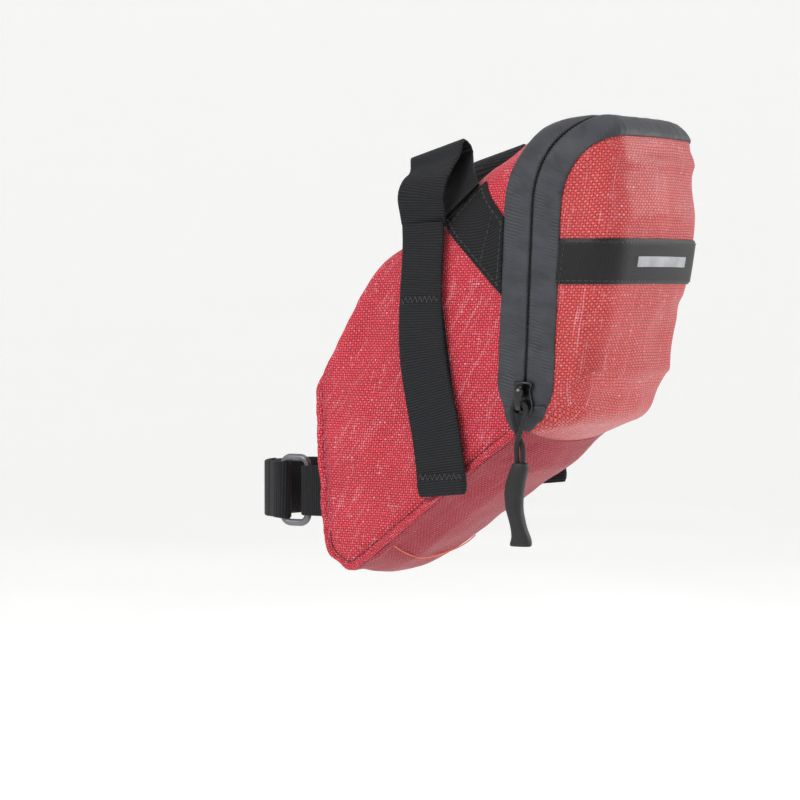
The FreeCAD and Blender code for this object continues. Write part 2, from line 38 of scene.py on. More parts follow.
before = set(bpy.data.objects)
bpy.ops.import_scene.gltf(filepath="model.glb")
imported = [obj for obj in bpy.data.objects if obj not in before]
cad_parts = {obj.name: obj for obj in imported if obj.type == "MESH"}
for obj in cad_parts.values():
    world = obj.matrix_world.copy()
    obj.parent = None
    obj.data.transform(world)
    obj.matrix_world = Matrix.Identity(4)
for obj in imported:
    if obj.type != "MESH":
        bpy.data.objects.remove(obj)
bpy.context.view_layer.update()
MM = 0.001
HANDS = ((-1, "left"), (1, "right"))
scene = bpy.context.scene

# ---------------------------------------------------------------- camera and light

TURN, PITCH = math.radians(30), math.radians(2.2)
DISTANCE, ACROSS, LEVEL = 1.2, 0.0352, 0.081
LENS, SENSOR = 135, 36
CENTRE = (0.08, 0, 0.06)


def placed(name, data, location=(0, 0, 0)):
    """A new object in the scene."""
    thing = bpy.data.objects.new(name, data)
    thing.location = location
    scene.collection.objects.link(thing)
    return thing


def make_camera():
    data = bpy.data.cameras.new("camera")
    data.lens, data.sensor_width = LENS, SENSOR
    data.clip_start, data.clip_end = 0.05, 20
    sine, cosine = math.sin(TURN), math.cos(TURN)
    place = (DISTANCE * sine + ACROSS * cosine, ACROSS * sine - DISTANCE * cosine, LEVEL)
    scene.camera = placed("camera", data, place)
    scene.camera.rotation_euler = (math.pi / 2 - PITCH, 0, TURN)


def area_light(name, location, size, power):
    data = bpy.data.lights.new(name, "AREA")
    data.shape, data.size, data.energy = "DISK", size, power
    aim = Vector(CENTRE) - Vector(location)
    placed(name, data, location).rotation_euler = aim.to_track_quat("-Z", "Y").to_euler()


make_camera()
for name, location, size, power in (
    ("key", (-0.25, -0.95, 0.75), 0.6, 8.5), ("right", (1.0, -0.35, 0.30), 0.35, 1.2),
    ("back", (0.75, 0.7, 0.35), 0.7, 3.6), ("top", (0.15, 0.05, 0.95), 0.6, 2.2),
):
    area_light(name, location, size, power)

# ---------------------------------------------------------------- procedural materials


def feed(tree, slot, value):
    """Puts a number, a colour or another node's result into a node's input."""
    if isinstance(value, Num):
        tree.links.new(value.socket, slot)
    else:
        slot.default_value = (*value, 1) if isinstance(value, tuple) else value


class Num:
    """A node's result that combines with others as plain numbers do."""

    def __init__(self, tree, socket):
        self.tree, self.socket = tree, socket

    def op(self, kind, *others):
        node = self.tree.nodes.new("ShaderNodeMath")
        node.operation = kind
        for slot, value in zip(node.inputs, (self, *others)):
            feed(self.tree, slot, value)
        return Num(self.tree, node.outputs[0])

    __add__ = partialmethod(op, "ADD")
    __sub__ = partialmethod(op, "SUBTRACT")
    __mul__ = partialmethod(op, "MULTIPLY")
    __truediv__ = partialmethod(op, "DIVIDE")
    floor = partialmethod(op, "FLOOR")
    fract = partialmethod(op, "FRACT")
    sin = partialmethod(op, "SINE")
    abs = partialmethod(op, "ABSOLUTE")
    top = partialmethod(op, "MAXIMUM")

    def flipped(self):
        return self * -1 + 1

    def ribs(self, pitch=1):
        """Rounded ridges at a pitch."""
        return (self / pitch * math.pi).sin().abs()

    def ramp(self, low, high, to_low=0.0, to_high=1.0):
        node = self.tree.nodes.new("ShaderNodeMapRange")
        node.interpolation_type = "SMOOTHSTEP"
        for key, value in (("Value", self), ("From Min", low), ("From Max", high),
                           ("To Min", to_low), ("To Max", to_high)):
            feed(self.tree, node.inputs[key], value)
        return Num(self.tree, node.outputs["Result"])


class Paint:
    """A material under construction: its coordinates, mixes and shader."""

    def __init__(self, name, colour, rough=0.5, metal=0.0, spec=0.5, sheen=0.0, coat=0.0, coat_rough=0.3):
        self.material = bpy.data.materials.new(name)
        self.material.use_nodes = True
        self.tree = self.material.node_tree
        self.shader = self.tree.nodes["Principled BSDF"]
        for key, value in (("Base Color", colour), ("Roughness", rough), ("Metallic", metal),
                           ("Specular IOR Level", spec), ("Sheen Weight", sheen), ("Sheen Roughness", 0.4),
                           ("Coat Weight", coat), ("Coat Roughness", coat_rough)):
            self.set(key, value)

    def set(self, key, value):
        feed(self.tree, self.shader.inputs[key], value)

    def node(self, kind, inputs=(), **settings):
        """A new node with its inputs and settings."""
        node = self.tree.nodes.new("ShaderNode" + kind)
        for key, value in settings.items():
            setattr(node, key, value)
        for key, value in inputs:
            feed(self.tree, node.inputs[key], value)
        return node

    def parts(self, node, output):
        """A vector's three parts."""
        split = self.node("SeparateXYZ", [(0, Num(self.tree, node.outputs[output]))])
        return [Num(self.tree, part) for part in split.outputs]

    def uv(self):
        """The piece's own coordinates in millimetres, across and along."""
        return self.parts(self.node("UVMap", uv_map="mm"), 0)[:2]

    def place(self):
        """The position in millimetres."""
        spot = Num(self.tree, self.node("TexCoord").outputs["Object"])
        return self.parts(self.node("VectorMath", operation="SCALE",
                                    inputs=[(0, spot), ("Scale", 1 / MM)]), 0)

    def noise(self, x, y, z=0.0, detail=2.0, rough=0.5):
        join = self.node("CombineXYZ", [(0, x), (1, y), (2, z)])
        node = self.node("TexNoise", [("Vector", Num(self.tree, join.outputs[0])), ("Scale", 1.0),
                                      ("Detail", detail), ("Roughness", rough)])
        return Num(self.tree, node.outputs["Fac"])

    def specks(self, size, rough=0.5):
        """Noise through space with grains of a size in millimetres."""
        return self.noise(*(axis / size for axis in self.place()), detail=3.0, rough=rough)

    def mix(self, factor, one, two):
        node = self.node("Mix", data_type="RGBA", inputs=[(0, factor), (6, one), (7, two)])
        return Num(self.tree, node.outputs[2])

    def blended(self, factor, one, two):
        """Colours the surface between two colours."""
        self.set("Base Color", self.mix(factor, one, two))

    def bump(self, height, distance):
        """The finished material, with a height in units of a distance in millimetres."""
        node = self.node("Bump", [("Strength", 1.0), ("Distance", distance * MM), ("Height", height)])
        self.set("Normal", Num(self.tree, node.outputs[0]))
        return self.material


def shade(colour, factor):
    return tuple(c * factor for c in colour)


def plain_weave(name, pitch, gap, dark, body, light, warp_shade, slub, coat, slant):
    """Red cloth of crossing threads, with painted shade in the gaps between them, painted sheen on the weft
    threads and painted shade on the warp, pale slubs and slanting pale streaks.
    """
    paint = Paint(name, body, spec=0.17, coat=coat, coat_rough=0.26)
    u, v = paint.uv()
    drift = paint.noise(u * 0.045, v * 0.045, detail=1.0) - 0.5
    a, b = (u + drift * 1.5) / pitch[0], (v + drift * 1.2) / pitch[1]
    i, j = a.floor(), b.floor()
    fa, fb = a - i, b - j
    parity = ((i + j) * 0.5).fract() * 4 - 1
    round_a, round_b = ((f * 2 - 1).abs().op("POWER", 2.2).flipped() * 0.55 for f in (fa, fb))
    warp = round_a + parity * (fb * math.pi).sin() * 0.42
    weft = round_b - parity * (fa * math.pi).sin() * 0.42
    height = warp.top(weft)
    on_top = (warp - weft).ramp(-0.08, 0.08)
    below = on_top.flipped()
    thread_warp = paint.noise(i * 7.31, v * 0.13, 1.7, rough=0.65)
    thread_weft = paint.noise(u * 0.13, j * 5.17, 8.3, rough=0.65)
    pale = (thread_warp * on_top + thread_weft * below).ramp(slub, slub + 0.16)
    flecks = paint.noise(i * 3.9, j * 4.3, 3.1, detail=0.0).ramp(0.66, 0.8)
    clouds = paint.noise(u * 0.03, v * 0.03, 5.0, detail=3.0).ramp(0.3, 0.7)
    sine, cosine = math.sin(math.radians(slant)), math.cos(math.radians(slant))
    along, across = u * cosine + v * sine, v * cosine - u * sine
    streak = paint.noise(along * 0.035, across * 0.75, 2.2, rough=0.6).ramp(0.58, 0.72)
    grain = paint.noise(u * 1.6, v * 1.6, 9.1, rough=0.7).ramp(0.3, 0.75)
    base = paint.mix(clouds, shade(body, 0.86), body)
    # Painted shade on the warp threads where they lie on top.
    base = paint.mix(on_top * warp_shade, base, shade(body, 0.45))
    # The first mix below is a painted sheen on the weft threads; the pale slubs, flecks and streaks are the
    # yarn's own colour.
    for amount in (below * grain * 0.34, pale * 0.7, flecks * 0.13, streak * 0.42):
        base = paint.mix(amount, base, light)
    # Painted shade: the low spots between the threads are coloured towards the dark colour.
    paint.blended(height.ramp(gap, gap + 0.24) * (grain * 0.45 + 0.55), dark, base)
    return paint.bump(height, 0.35)


# The dark colour is the painted shade in the weave's gaps; the pale colour serves the slubs, the streaks and a
# painted sheen on the weft.
PALE, GAP_SHADE = (0.92, 0.36, 0.40), (0.050, 0.006, 0.020)
red_side = plain_weave("red_side", (0.98, 0.94), 0.42, GAP_SHADE, (0.86, 0.048, 0.066), PALE, 0.2, 0.58, 0.02, 62)
red_rear = plain_weave("red_rear", (1.10, 1.02), 0.36, GAP_SHADE, (0.84, 0.066, 0.050), PALE, 0.5, 0.60, 0.30, 88)
# The base's cloth is the red cloth made darker, with darker pale threads: painted shade for the underside.
red_base_in_shade = plain_weave("red_base_in_shade", (0.86, 0.90), 0.42, GAP_SHADE, (0.58, 0.030, 0.042), (0.62, 0.22, 0.25),
                       0.45, 0.62, 0.06, 90)


def webbing(name, rib, depth, colour, rough, coat=0.0, twill=False):
    """Woven strap: ribs across it, or slanting as twill."""
    paint = Paint(name, colour, rough, spec=0.16, coat=coat, coat_rough=0.25)
    u, v = paint.uv()
    run = u * 0.8 + v * 0.8 if twill else v
    wave, lengthways = run.ribs(rib), u.ribs(0.55)
    yarn = paint.noise(u / 0.35, run / rib, detail=1.0)
    # Painted highlight on the ribs' crests and painted shade between them, mixed with the yarn's own uneven
    # tone.
    crest_light_and_yarn_tone = (wave * 0.55 + yarn * 0.5 + lengthways * 0.2).ramp(0.3, 1.0)
    paint.blended(crest_light_and_yarn_tone, shade(colour, 0.15), tuple(c * 2.4 + 0.004 for c in colour))
    return paint.bump(wave * 0.7 + yarn * 0.35 + lengthways * 0.3, depth)


def coated_tape():
    """Matt charcoal tape with fine creases across it."""
    paint = Paint("zip_tape", (0.040, 0.043, 0.052), 0.55, spec=0.3)
    u, v = paint.uv()
    patch = paint.noise(u * 0.12, v * 0.035).ramp(0.42, 0.68)
    crease = paint.noise(u * 0.10 + v * 0.05, v * 0.16, 4.0, detail=3.0)
    grain = paint.noise(u * 2.2, v * 2.2)
    # Painted shade: the low spots of the creases are coloured darker, with a fine random grain.
    paint.blended((crease + grain * 0.3).ramp(0.35, 0.95), (0.019, 0.020, 0.025), (0.040, 0.042, 0.050))
    paint.set("Roughness", crease.ramp(0.3, 0.7, 0.45, 0.64))
    return paint.bump((v / 1.25 + u * 0.18).ribs() * patch * 0.45 + crease * 1.5 + grain * 0.12, 0.42)


def fuzzy(name, colour, size, depth):
    """Loop or hook tape and foam."""
    paint = Paint(name, colour, 0.9, spec=0.2, sheen=0.3)
    curl = paint.specks(size, 0.7)
    # Painted shade in the pile's hollows and painted highlight on its raised curls, following the bump.
    paint.blended(curl.ramp(0.3, 0.75), shade(colour, 0.4), shade(colour, 1.9))
    return paint.bump(curl, depth)


def worn(name, colour, rough, metal=0.0, spec=0.5, coat=0.0, grain=0.4, depth=0.03):
    """Enamel, metal, rubber or moulded plastic with a fine grain and uneven gloss."""
    paint = Paint(name, colour, rough, metal, spec, coat=coat, coat_rough=0.12)
    broad = paint.specks(1 / 0.12)
    paint.blended(broad.ramp(0.3, 0.7), shade(colour, 0.8), shade(colour, 1.2))
    paint.set("Roughness", broad.ramp(0.3, 0.7, rough - 0.08, rough + 0.08))
    return paint.bump(paint.specks(grain), depth)


def braided():
    """Black cord: crossing strands wound both ways round it."""
    paint = Paint("braided_cord", (0.010, 0.010, 0.012), 0.6, spec=0.3)
    x, _, z = paint.place()
    weave = (z * 1.3 + x * 1.1).ribs(0.9) * (z * 1.3 - x * 1.1).ribs(0.9)
    # Painted shade in the grooves between the strands, following the bump.
    paint.blended(weave.ramp(0.1, 0.7), (0.003, 0.003, 0.004), (0.035, 0.036, 0.04))
    return paint.bump(weave, 0.22)


def thread(name, colour):
    """Sewing thread with a twist."""
    paint = Paint(name, colour, 0.55, sheen=0.2)
    x, y, z = paint.place()
    twist = (x + y * 0.6 + z * 1.3).ribs(0.45)
    # Painted shade in the grooves of the twist, following the bump.
    paint.blended(twist.ramp(0.1, 0.8), shade(colour, 0.6), colour)
    return paint.bump(twist, 0.08)


def taffeta():
    """Grey lining cloth with a close fine weave."""
    paint = Paint("lining_cloth", (0.16, 0.165, 0.18), 0.55, sheen=0.2)
    u, v = paint.uv()
    grid = u.ribs(0.6) * v.ribs(0.6)
    soft = paint.noise(u * 0.06, v * 0.06, detail=3.0)
    # Painted shade in the gaps of the weave and in the cloth's soft hollows, following the bump.
    paint.blended((grid * 0.5 + soft * 0.6).ramp(0.2, 0.9), (0.11, 0.115, 0.13), (0.21, 0.215, 0.23))
    return paint.bump(grid * 0.4 + soft * 2.0, 0.15)


black_webbing = webbing("black_webbing", 0.98, 0.34, (0.0055, 0.0058, 0.0068), 0.58)
satin_webbing = webbing("satin_webbing", 0.7, 0.08, (0.005, 0.005, 0.0058), 0.42, coat=0.08)
black_twill = webbing("black_twill", 1.0, 0.24, (0.005, 0.005, 0.0058), 0.66, twill=True)
zip_tape = coated_tape()
loop_tape = fuzzy("loop_tape", (0.012, 0.012, 0.013), 0.5, 0.5)
hook_tape = fuzzy("hook_tape", (0.014, 0.014, 0.015), 0.3, 0.25)
foam = fuzzy("foam", (0.36, 0.37, 0.39), 0.6, 0.2)
slider_metal = worn("slider_enamel", (0.004, 0.004, 0.0045), 0.24, spec=0.4, coat=0.25)
ring_wire = worn("ring_wire", (0.13, 0.13, 0.14), 0.38, metal=0.75, grain=0.3)
rubber = worn("grip_rubber", (0.008, 0.008, 0.009), 0.46, spec=0.35, grain=0.35, depth=0.05)
coil_plastic = worn("zip_coil", (0.010, 0.010, 0.011), 0.35)
stiff_sheet = worn("stiffener", (0.05, 0.05, 0.055), 0.5)
reflective = worn("reflective_print", (0.30, 0.31, 0.33), 0.42, metal=0.2, grain=0.25)
black_cord = braided()
lilac_thread = thread("lilac_thread", (0.30, 0.10, 0.19))
# Thread of the base seam, dark enough to stand in as painted shadow of the seam's groove.
dark_thread_and_seam_shade = thread("dark_thread_and_seam_shade", (0.022, 0.006, 0.014))
black_thread = thread("black_thread", (0.018, 0.018, 0.021))
grey_thread = thread("grey_thread", (0.026, 0.026, 0.030))
orange_thread = thread("orange_thread", (0.85, 0.13, 0.02))
lining_cloth = taffeta()

# ---------------------------------------------------------------- the bag's form


def unit(v):
    return v / np.maximum(np.linalg.norm(v, axis=-1, keepdims=True), 1e-12)


def smooth(low, high, x):
    t = np.clip((x - low) / (high - low), 0, 1)
    return t * t * (3 - 2 * t)


def stretch(p, low, high, soft):
    """1 inside a range, falling to 0 over a soft border."""
    return smooth(low - soft, low, p) * (1 - smooth(high, high + soft, p))


def spot(p, middle, width):
    """1 at a middle, falling off round it."""
    return np.exp(-((p - middle) / width) ** 2)


def circle(angle):
    return np.stack([np.cos(angle), np.sin(angle)], -1)


def in_side(v, y=0.0):
    """Rows (x, z) of the side view as rows (x, y, z)."""
    return np.stack([v[:, 0], np.broadcast_to(y, len(v)), v[:, 1]], -1)


def lengths(path):
    """The distance along a path to each of its points."""
    return np.concatenate(([0], np.cumsum(np.linalg.norm(np.diff(path, axis=0), axis=1))))


def between(at, length, rows):
    """Rows of values at given distances along."""
    return np.stack([np.interp(at, length, column) for column in rows.T], -1)


def even(dense, step):
    """A path's points made evenly spaced."""
    length = lengths(dense)
    return between(np.linspace(0, length[-1], max(2, int(round(length[-1] / step)) + 1)), length, dense)


def resampled(path, step):
    """A smooth curve through given points, evenly spaced."""
    path = np.asarray(path, float)
    ends = np.concatenate([[2 * path[0] - path[1]], path, [2 * path[-1] - path[-2]]])
    t = np.linspace(0, 1, 24, endpoint=False)[:, None]
    dense = [0.5 * (2 * b + (c - a) * t + (2 * a - 5 * b + 4 * c - d) * t * t
                    + (3 * b - a - 3 * c + d) * t ** 3)
             for a, b, c, d in zip(ends, ends[1:], ends[2:], ends[3:])]
    return even(np.concatenate([*dense, path[-1:]]), step)


def rounded(corners):
    """A closed outline through corners (x, y, radius), as points."""
    points = []
    for k, (px, py, radius) in enumerate(corners):
        p = np.array((px, py), float)
        if not radius:
            points.append(p)
            continue
        u = unit(np.array(corners[k - 1][:2], float) - p)
        v = unit(np.array(corners[(k + 1) % len(corners)][:2], float) - p)
        angle = math.acos(np.clip(u @ v, -1, 1))
        centre = p + unit(u + v) * radius / math.sin(angle / 2)
        first, last = (p + w * radius / math.tan(angle / 2) - centre for w in (u, v))
        start = math.atan2(first[1], first[0])
        sweep = (math.atan2(last[1], last[0]) - start + math.pi) % (2 * math.pi) - math.pi
        steps = max(3, int(abs(sweep) * radius / 1.5) + 1)
        points += list(centre + radius * circle(start + sweep * np.linspace(0, 1, steps)))
    return np.array(points)


class Outline:
    """A closed outline: signed distance, outward direction and place along it."""

    def __init__(self, corners):
        self.p = rounded(corners)
        self.q = np.roll(self.p, -1, 0)
        self.e = self.q - self.p
        self.length = np.linalg.norm(self.e, axis=1)
        self.start = np.concatenate(([0], np.cumsum(self.length)[:-1]))
        self.total = self.length.sum()
        turn = np.sign((self.p[:, 0] * self.q[:, 1] - self.q[:, 0] * self.p[:, 1]).sum())
        self.normal = turn * np.stack([self.e[:, 1], -self.e[:, 0]], -1) / self.length[:, None]

    def __call__(self, x, y):
        parts = [self.part(x[k:k + 6000], y[k:k + 6000]) for k in range(0, len(x), 6000)]
        return [np.concatenate(column) for column in zip(*parts)]

    def part(self, x, y):
        w = np.stack([x, y], -1)[:, None, :] - self.p[None]
        t = np.clip((w * self.e).sum(-1) / (self.length ** 2), 0, 1)
        near = w - t[..., None] * self.e
        k = (near ** 2).sum(-1).argmin(1)
        rows = np.arange(len(x))
        best = near[rows, k]
        low, high = self.p[:, 1][None], self.q[:, 1][None]
        crosses = (low <= y[:, None]) != (high <= y[:, None])
        rise = np.where(high == low, 1, high - low)
        at = self.p[:, 0] + (y[:, None] - low) / rise * self.e[:, 0]
        inside = (crosses & (at > x[:, None])).sum(1) % 2 == 1
        sign = np.where(inside, -1.0, 1.0)
        distance = np.linalg.norm(best, axis=1)
        way = np.where((distance < 1e-6)[:, None], self.normal[k], sign[:, None] * unit(best))
        return sign * distance, way, self.start[k] + t[rows, k] * self.length[k]

    def at(self, places):
        """Points at given places along the outline."""
        places = places % self.total
        k = np.searchsorted(self.start, places, side="right") - 1
        return self.p[k] + self.e[k] * ((places - self.start[k]) / self.length[k])[:, None]

    def spaced(self, count):
        """Evenly spaced points round the outline."""
        return self.at(np.arange(count) / count * self.total)


SIDE = Outline([(37, -30, 7), (24.5, -23, 9), (20, 41, 12), (48, 89, 40), (122, 142, 30), (162, 144, 18),
                (147, 34, 20), (116, 28.5, 0)])
PLAN = Outline([(10, -28, 0), (104, -38.5, 0), (150, -38.5, 13), (155, 0, 150), (150, 38.5, 13),
                (104, 38.5, 0), (10, 28, 0)])
# The body is what lies before the zip's plane, seen from the side.
BODY = Outline([(-220, -60, 0), (112.08, -60, 0), (121.1, 148.2, 40), (260, 148.2, 0), (260, 220, 0),
                (-220, 220, 0)])
LEAN, PLAN_Z = 0.14, 81  # how the plan shifts back with height, and the height it is drawn at
NARROWEST, WIDEST, TAPER = 28, 38.5, (10, 104)  # half widths, and the stretch over which the bag widens
EDGE_ROUND, TOP_ROUND = 2.2, 13.8
LID_LOW_ROUND, HEEL_ROUND, LID_TOP_ROUND = 4, 10, 7.5


def half_width(x, z):
    """Half the bag's width where its sides end."""
    return np.interp(x - LEAN * (z - PLAN_Z), TAPER, (NARROWEST, WIDEST))


def envelope(p):
    """Signed distance from the bag's outer form, and the outward direction."""
    x, y, z = p.T
    a, ga, _ = SIDE(x, z)
    b, gb, _ = PLAN(x - LEAN * (z - PLAN_Z), y)
    out_a = in_side(ga)
    out_b = np.stack([gb[:, 0], gb[:, 1], -LEAN * gb[:, 0]], -1)
    scale = np.linalg.norm(out_b, axis=1)
    b, out_b = b / scale, out_b / scale[:, None]
    top = smooth(0.15, 0.6, ga[:, 1]) * smooth(38, 64, x)
    lid_low = smooth(-0.1, 0.75, -ga[:, 1]) * smooth(112, 120, x)
    radius = EDGE_ROUND + TOP_ROUND * top + lid_low * (LID_LOW_ROUND + HEEL_ROUND * smooth(118, 136, x))
    radius += LID_TOP_ROUND * smooth(98, 130, z) * smooth(112, 126, x) * (1 - top)
    u, v = np.maximum(a + radius, 0), np.maximum(b + radius, 0)
    both = np.sqrt(u * u + v * v)
    edge = (u > 0) & (v > 0)
    distance = np.where(edge, both - radius, np.maximum(a, b))
    on_edge = (out_a * u[:, None] + out_b * v[:, None]) / np.maximum(both, 1e-9)[:, None]
    way = np.where(edge[:, None], on_edge, np.where((a > b)[:, None], out_a, out_b))
    return distance, unit(way)


def snap(p, rounds=4):
    """Points moved onto the bag's outer form."""
    for _ in range(rounds):
        distance, way = envelope(p)
        p = p - way * distance[:, None]
    return p


def on_side(x, z, sign):
    """Points on the bag's left (-1) or right side straight in from outside."""
    low, high = np.zeros(x.size), np.full(x.size, 60.0)
    for _ in range(22):
        middle = (low + high) / 2
        inside = envelope(np.stack([x.ravel(), sign * middle, z.ravel()], -1))[0] < 0
        low, high = np.where(inside, middle, low), np.where(inside, high, middle)
    return np.stack([x.ravel(), sign * (low + high) / 2, z.ravel()], -1).reshape(*x.shape, 3)


def wobble(p, seed, wave, count=14):
    """Smooth noise from -1 to 1 with a given wavelength."""
    rng = np.random.default_rng(seed)
    way = unit(rng.normal(size=(count, 3))) * (2 * math.pi / wave) * rng.uniform(0.6, 1.5, (count, 1))
    return np.sin(p @ way.T + rng.uniform(0, 6.3, count)).sum(-1) / math.sqrt(count) / 1.4


def grid_faces(rows, columns, around=True, closed=False):
    """Quads of a grid of points: around joins each row's ends, closed joins the last row to the first."""
    i, j = np.mgrid[:rows - (not closed), :columns - (not around)]
    k, after = (j + 1) % columns, (i + 1) % rows * columns
    quads = np.stack([i * columns + j, i * columns + k, after + k, after + j], -1)
    return [tuple(quad) for quad in quads.reshape(-1, 4).tolist()]


ROUND, RINGS, COLUMNS = 300, 40, 46
HUB, HUB_OUT = np.array((76.0, 46.0)), 42.0


def shell_mesh():
    """The bag's closed skin: first the rim, then each side ringed round a hub."""
    loop = SIDE.spaced(ROUND)
    half = half_width(*loop.T)
    points = [in_side(loop, w * half) for w in np.linspace(-1, 1, COLUMNS + 1)]
    faces = grid_faces(COLUMNS + 1, ROUND)
    after = [*range(1, ROUND), 0]
    hub = (COLUMNS + 1) * ROUND - 1
    for side, edge in ((-1, 0), (1, COLUMNS * ROUND)):
        points += [in_side(HUB + (loop - HUB) * k / RINGS, side * HUB_OUT) for k in range(RINGS - 1, 0, -1)]
        points.append(in_side(HUB[None], side * HUB_OUT))
        rows = [edge] + [hub + 1 + k * ROUND for k in range(RINGS - 1)]
        hub += (RINGS - 1) * ROUND + 1
        for one, two in zip(rows, rows[1:]):
            one, two = (one, two)[::side]
            faces += [(one + i, one + k, two + k, two + i) for i, k in enumerate(after)]
        faces += [(hub, *(rows[-1] + i, rows[-1] + k)[::side]) for i, k in enumerate(after)]
    return np.concatenate(points), faces


def read(mesh, what):
    """Three numbers for each of a mesh's vertices."""
    found = np.zeros(len(mesh.vertices) * 3, np.float32)
    mesh.vertices.foreach_get(what, found)
    return found.reshape(-1, 3).astype(float)


def normals_of(points, faces):
    mesh = bpy.data.meshes.new("measure")
    mesh.from_pydata(points.tolist(), [], faces)
    mesh.update()
    found = read(mesh, "normal")
    bpy.data.meshes.remove(mesh)
    return found


def free_play(rest):
    """How free the cloth is to move: 0 under the zip, bands and patches, 1 in open panels."""
    x, y, z = rest.T
    out = np.abs(y) / WIDEST
    unzipped = (1 - smooth(22, 30, z)) * (1 - smooth(0.6, 0.85, out))
    free = smooth(12.5, 26, np.abs(BODY(x, z)[0]) + 30 * unzipped)
    free *= 1 - stretch(z, 79, 100, 7) * smooth(124, 132, x)
    beside = smooth(0.6, 0.9, out)
    free *= 1 - stretch(x, 57, 92, 9) * stretch(z, -6, 108, 9) * beside
    patch = stretch((x - 97.5) * 0.77 + (z - 99) * 0.64, -13, 13, 7) * smooth(60, 75, z) * beside
    return free * (1 - patch * (1 - smooth(112, 124, x)))


def relaxed(values, faces, rounds):
    """Values at the skin's points, each drawn towards the mean of its neighbours."""
    sides = {(a, b) for f in faces for a, b in zip(f, f[1:] + f[:1])}
    ends = np.array(sorted(sides | {(b, a) for a, b in sides}))
    count = np.bincount(ends[:, 0], minlength=len(values))[:, None]
    for _ in range(rounds):
        total = [np.bincount(ends[:, 0], column[ends[:, 1]], len(values)) for column in values.T]
        values = 0.5 * values + 0.5 * np.stack(total, -1) / count
    return values


def shares(tree, faces, at, point, soft):
    """The corners of the face nearest to a point, and each one's share in it."""
    hit, _, face, _ = tree.find_nearest(Vector(point))
    corners = list(faces[face])
    weight = 1 / (np.linalg.norm(at[corners] - np.array(hit), axis=1) + soft)
    return corners, weight[:, None] / weight.sum()


SIM_SCALE, VOXEL, STEPS = 0.003, 4.2, 20


def simulated_swell(rest, faces):
    """The skin filled as pressurised cloth held at its seams, zip and straps: its movement in mm."""
    mesh = bpy.data.meshes.new("skin_sim")
    mesh.from_pydata((rest * SIM_SCALE).tolist(), [], faces)
    body = placed("skin_sim", mesh)
    remesh = body.modifiers.new("voxels", "REMESH")
    remesh.mode, remesh.voxel_size = "VOXEL", VOXEL * SIM_SCALE
    coarse = bpy.data.meshes.new_from_object(body.evaluated_get(bpy.context.evaluated_depsgraph_get()))
    body.modifiers.clear()
    body.data = coarse
    before = read(coarse, "co")
    place = before / SIM_SCALE
    side_edge = np.abs(SIDE(place[:, 0], place[:, 2])[0])
    seam = (1 - smooth(3, 7, side_edge)) * smooth(22, 27, np.abs(place[:, 1]))
    seam *= 1 - smooth(112, 120, place[:, 0])
    group = body.vertex_groups.new(name="held")
    for index, weight in enumerate(np.clip(np.maximum(1 - free_play(place), seam), 0, 1)):
        group.add([index], float(weight), "REPLACE")
    cloth = body.modifiers.new("cloth", "CLOTH")
    for key, value in (
        ("quality", 5), ("mass", 0.25), ("tension_stiffness", 18), ("compression_stiffness", 18),
        ("shear_stiffness", 6), ("bending_stiffness", 0.6), ("use_pressure", True),
        ("uniform_pressure_force", 2.2), ("shrink_min", -0.022), ("vertex_group_mass", "held"),
    ):
        setattr(cloth.settings, key, value)
    cloth.settings.effector_weights.gravity = 0.15
    cloth.collision_settings.use_collision = False
    cloth.point_cache.frame_start, cloth.point_cache.frame_end = 1, STEPS
    for number in range(1, STEPS + 1):
        scene.frame_set(number)
    moved = bpy.data.meshes.new_from_object(body.evaluated_get(bpy.context.evaluated_depsgraph_get()))
    shift = (read(moved, "co") - before) / SIM_SCALE
    scene.frame_set(1)
    coarse.calc_loop_triangles()
    triangles = [tuple(t.vertices) for t in coarse.loop_triangles]
    tree = BVHTree.FromPolygons([tuple(p) for p in before], triangles)
    result = np.zeros_like(rest)
    for index, point in enumerate(rest * SIM_SCALE):
        corners, share = shares(tree, triangles, before, point, 1e-5)
        result[index] = (shift[corners] * share).sum(0)
    bpy.data.objects.remove(body)
    for left in (mesh, coarse, moved):
        bpy.data.meshes.remove(left)
    return relaxed(result, faces, 14)


MOST_SWELL = 3.2
SAG, REAR_SAG, FRONT_BULGE, GROOVE, CROWN = 4.2, 3.2, 1.5, 1.3, 0.9
HEEL_IN, LID_FOOT_IN, LID_TOP_IN = 3.6, 1.2, 1.7
DENTS = (  # centre, reach each way, depth outward
    (137, -37, 73, 10, 9, 4.2, -2.1), (142, -34, 63, 9, 10, 4.5, 1.5), (134, -38, 51, 7, 9, 4.5, -1.6),
    (150, -20, 76, 12, 11, 3.5, -0.9), (148, -24, 46, 10, 12, 5, -0.9), (156, -8, 118, 9, 14, 6, 0.6),
    (151, 12, 62, 9, 13, 8, -1.1), (100, -34, 40, 6, 9, 16, -0.7), (42, -30, 30, 9, 9, 22, 0.7),
    (150, 30, 74, 9, 9, 4.5, -1.3),
)


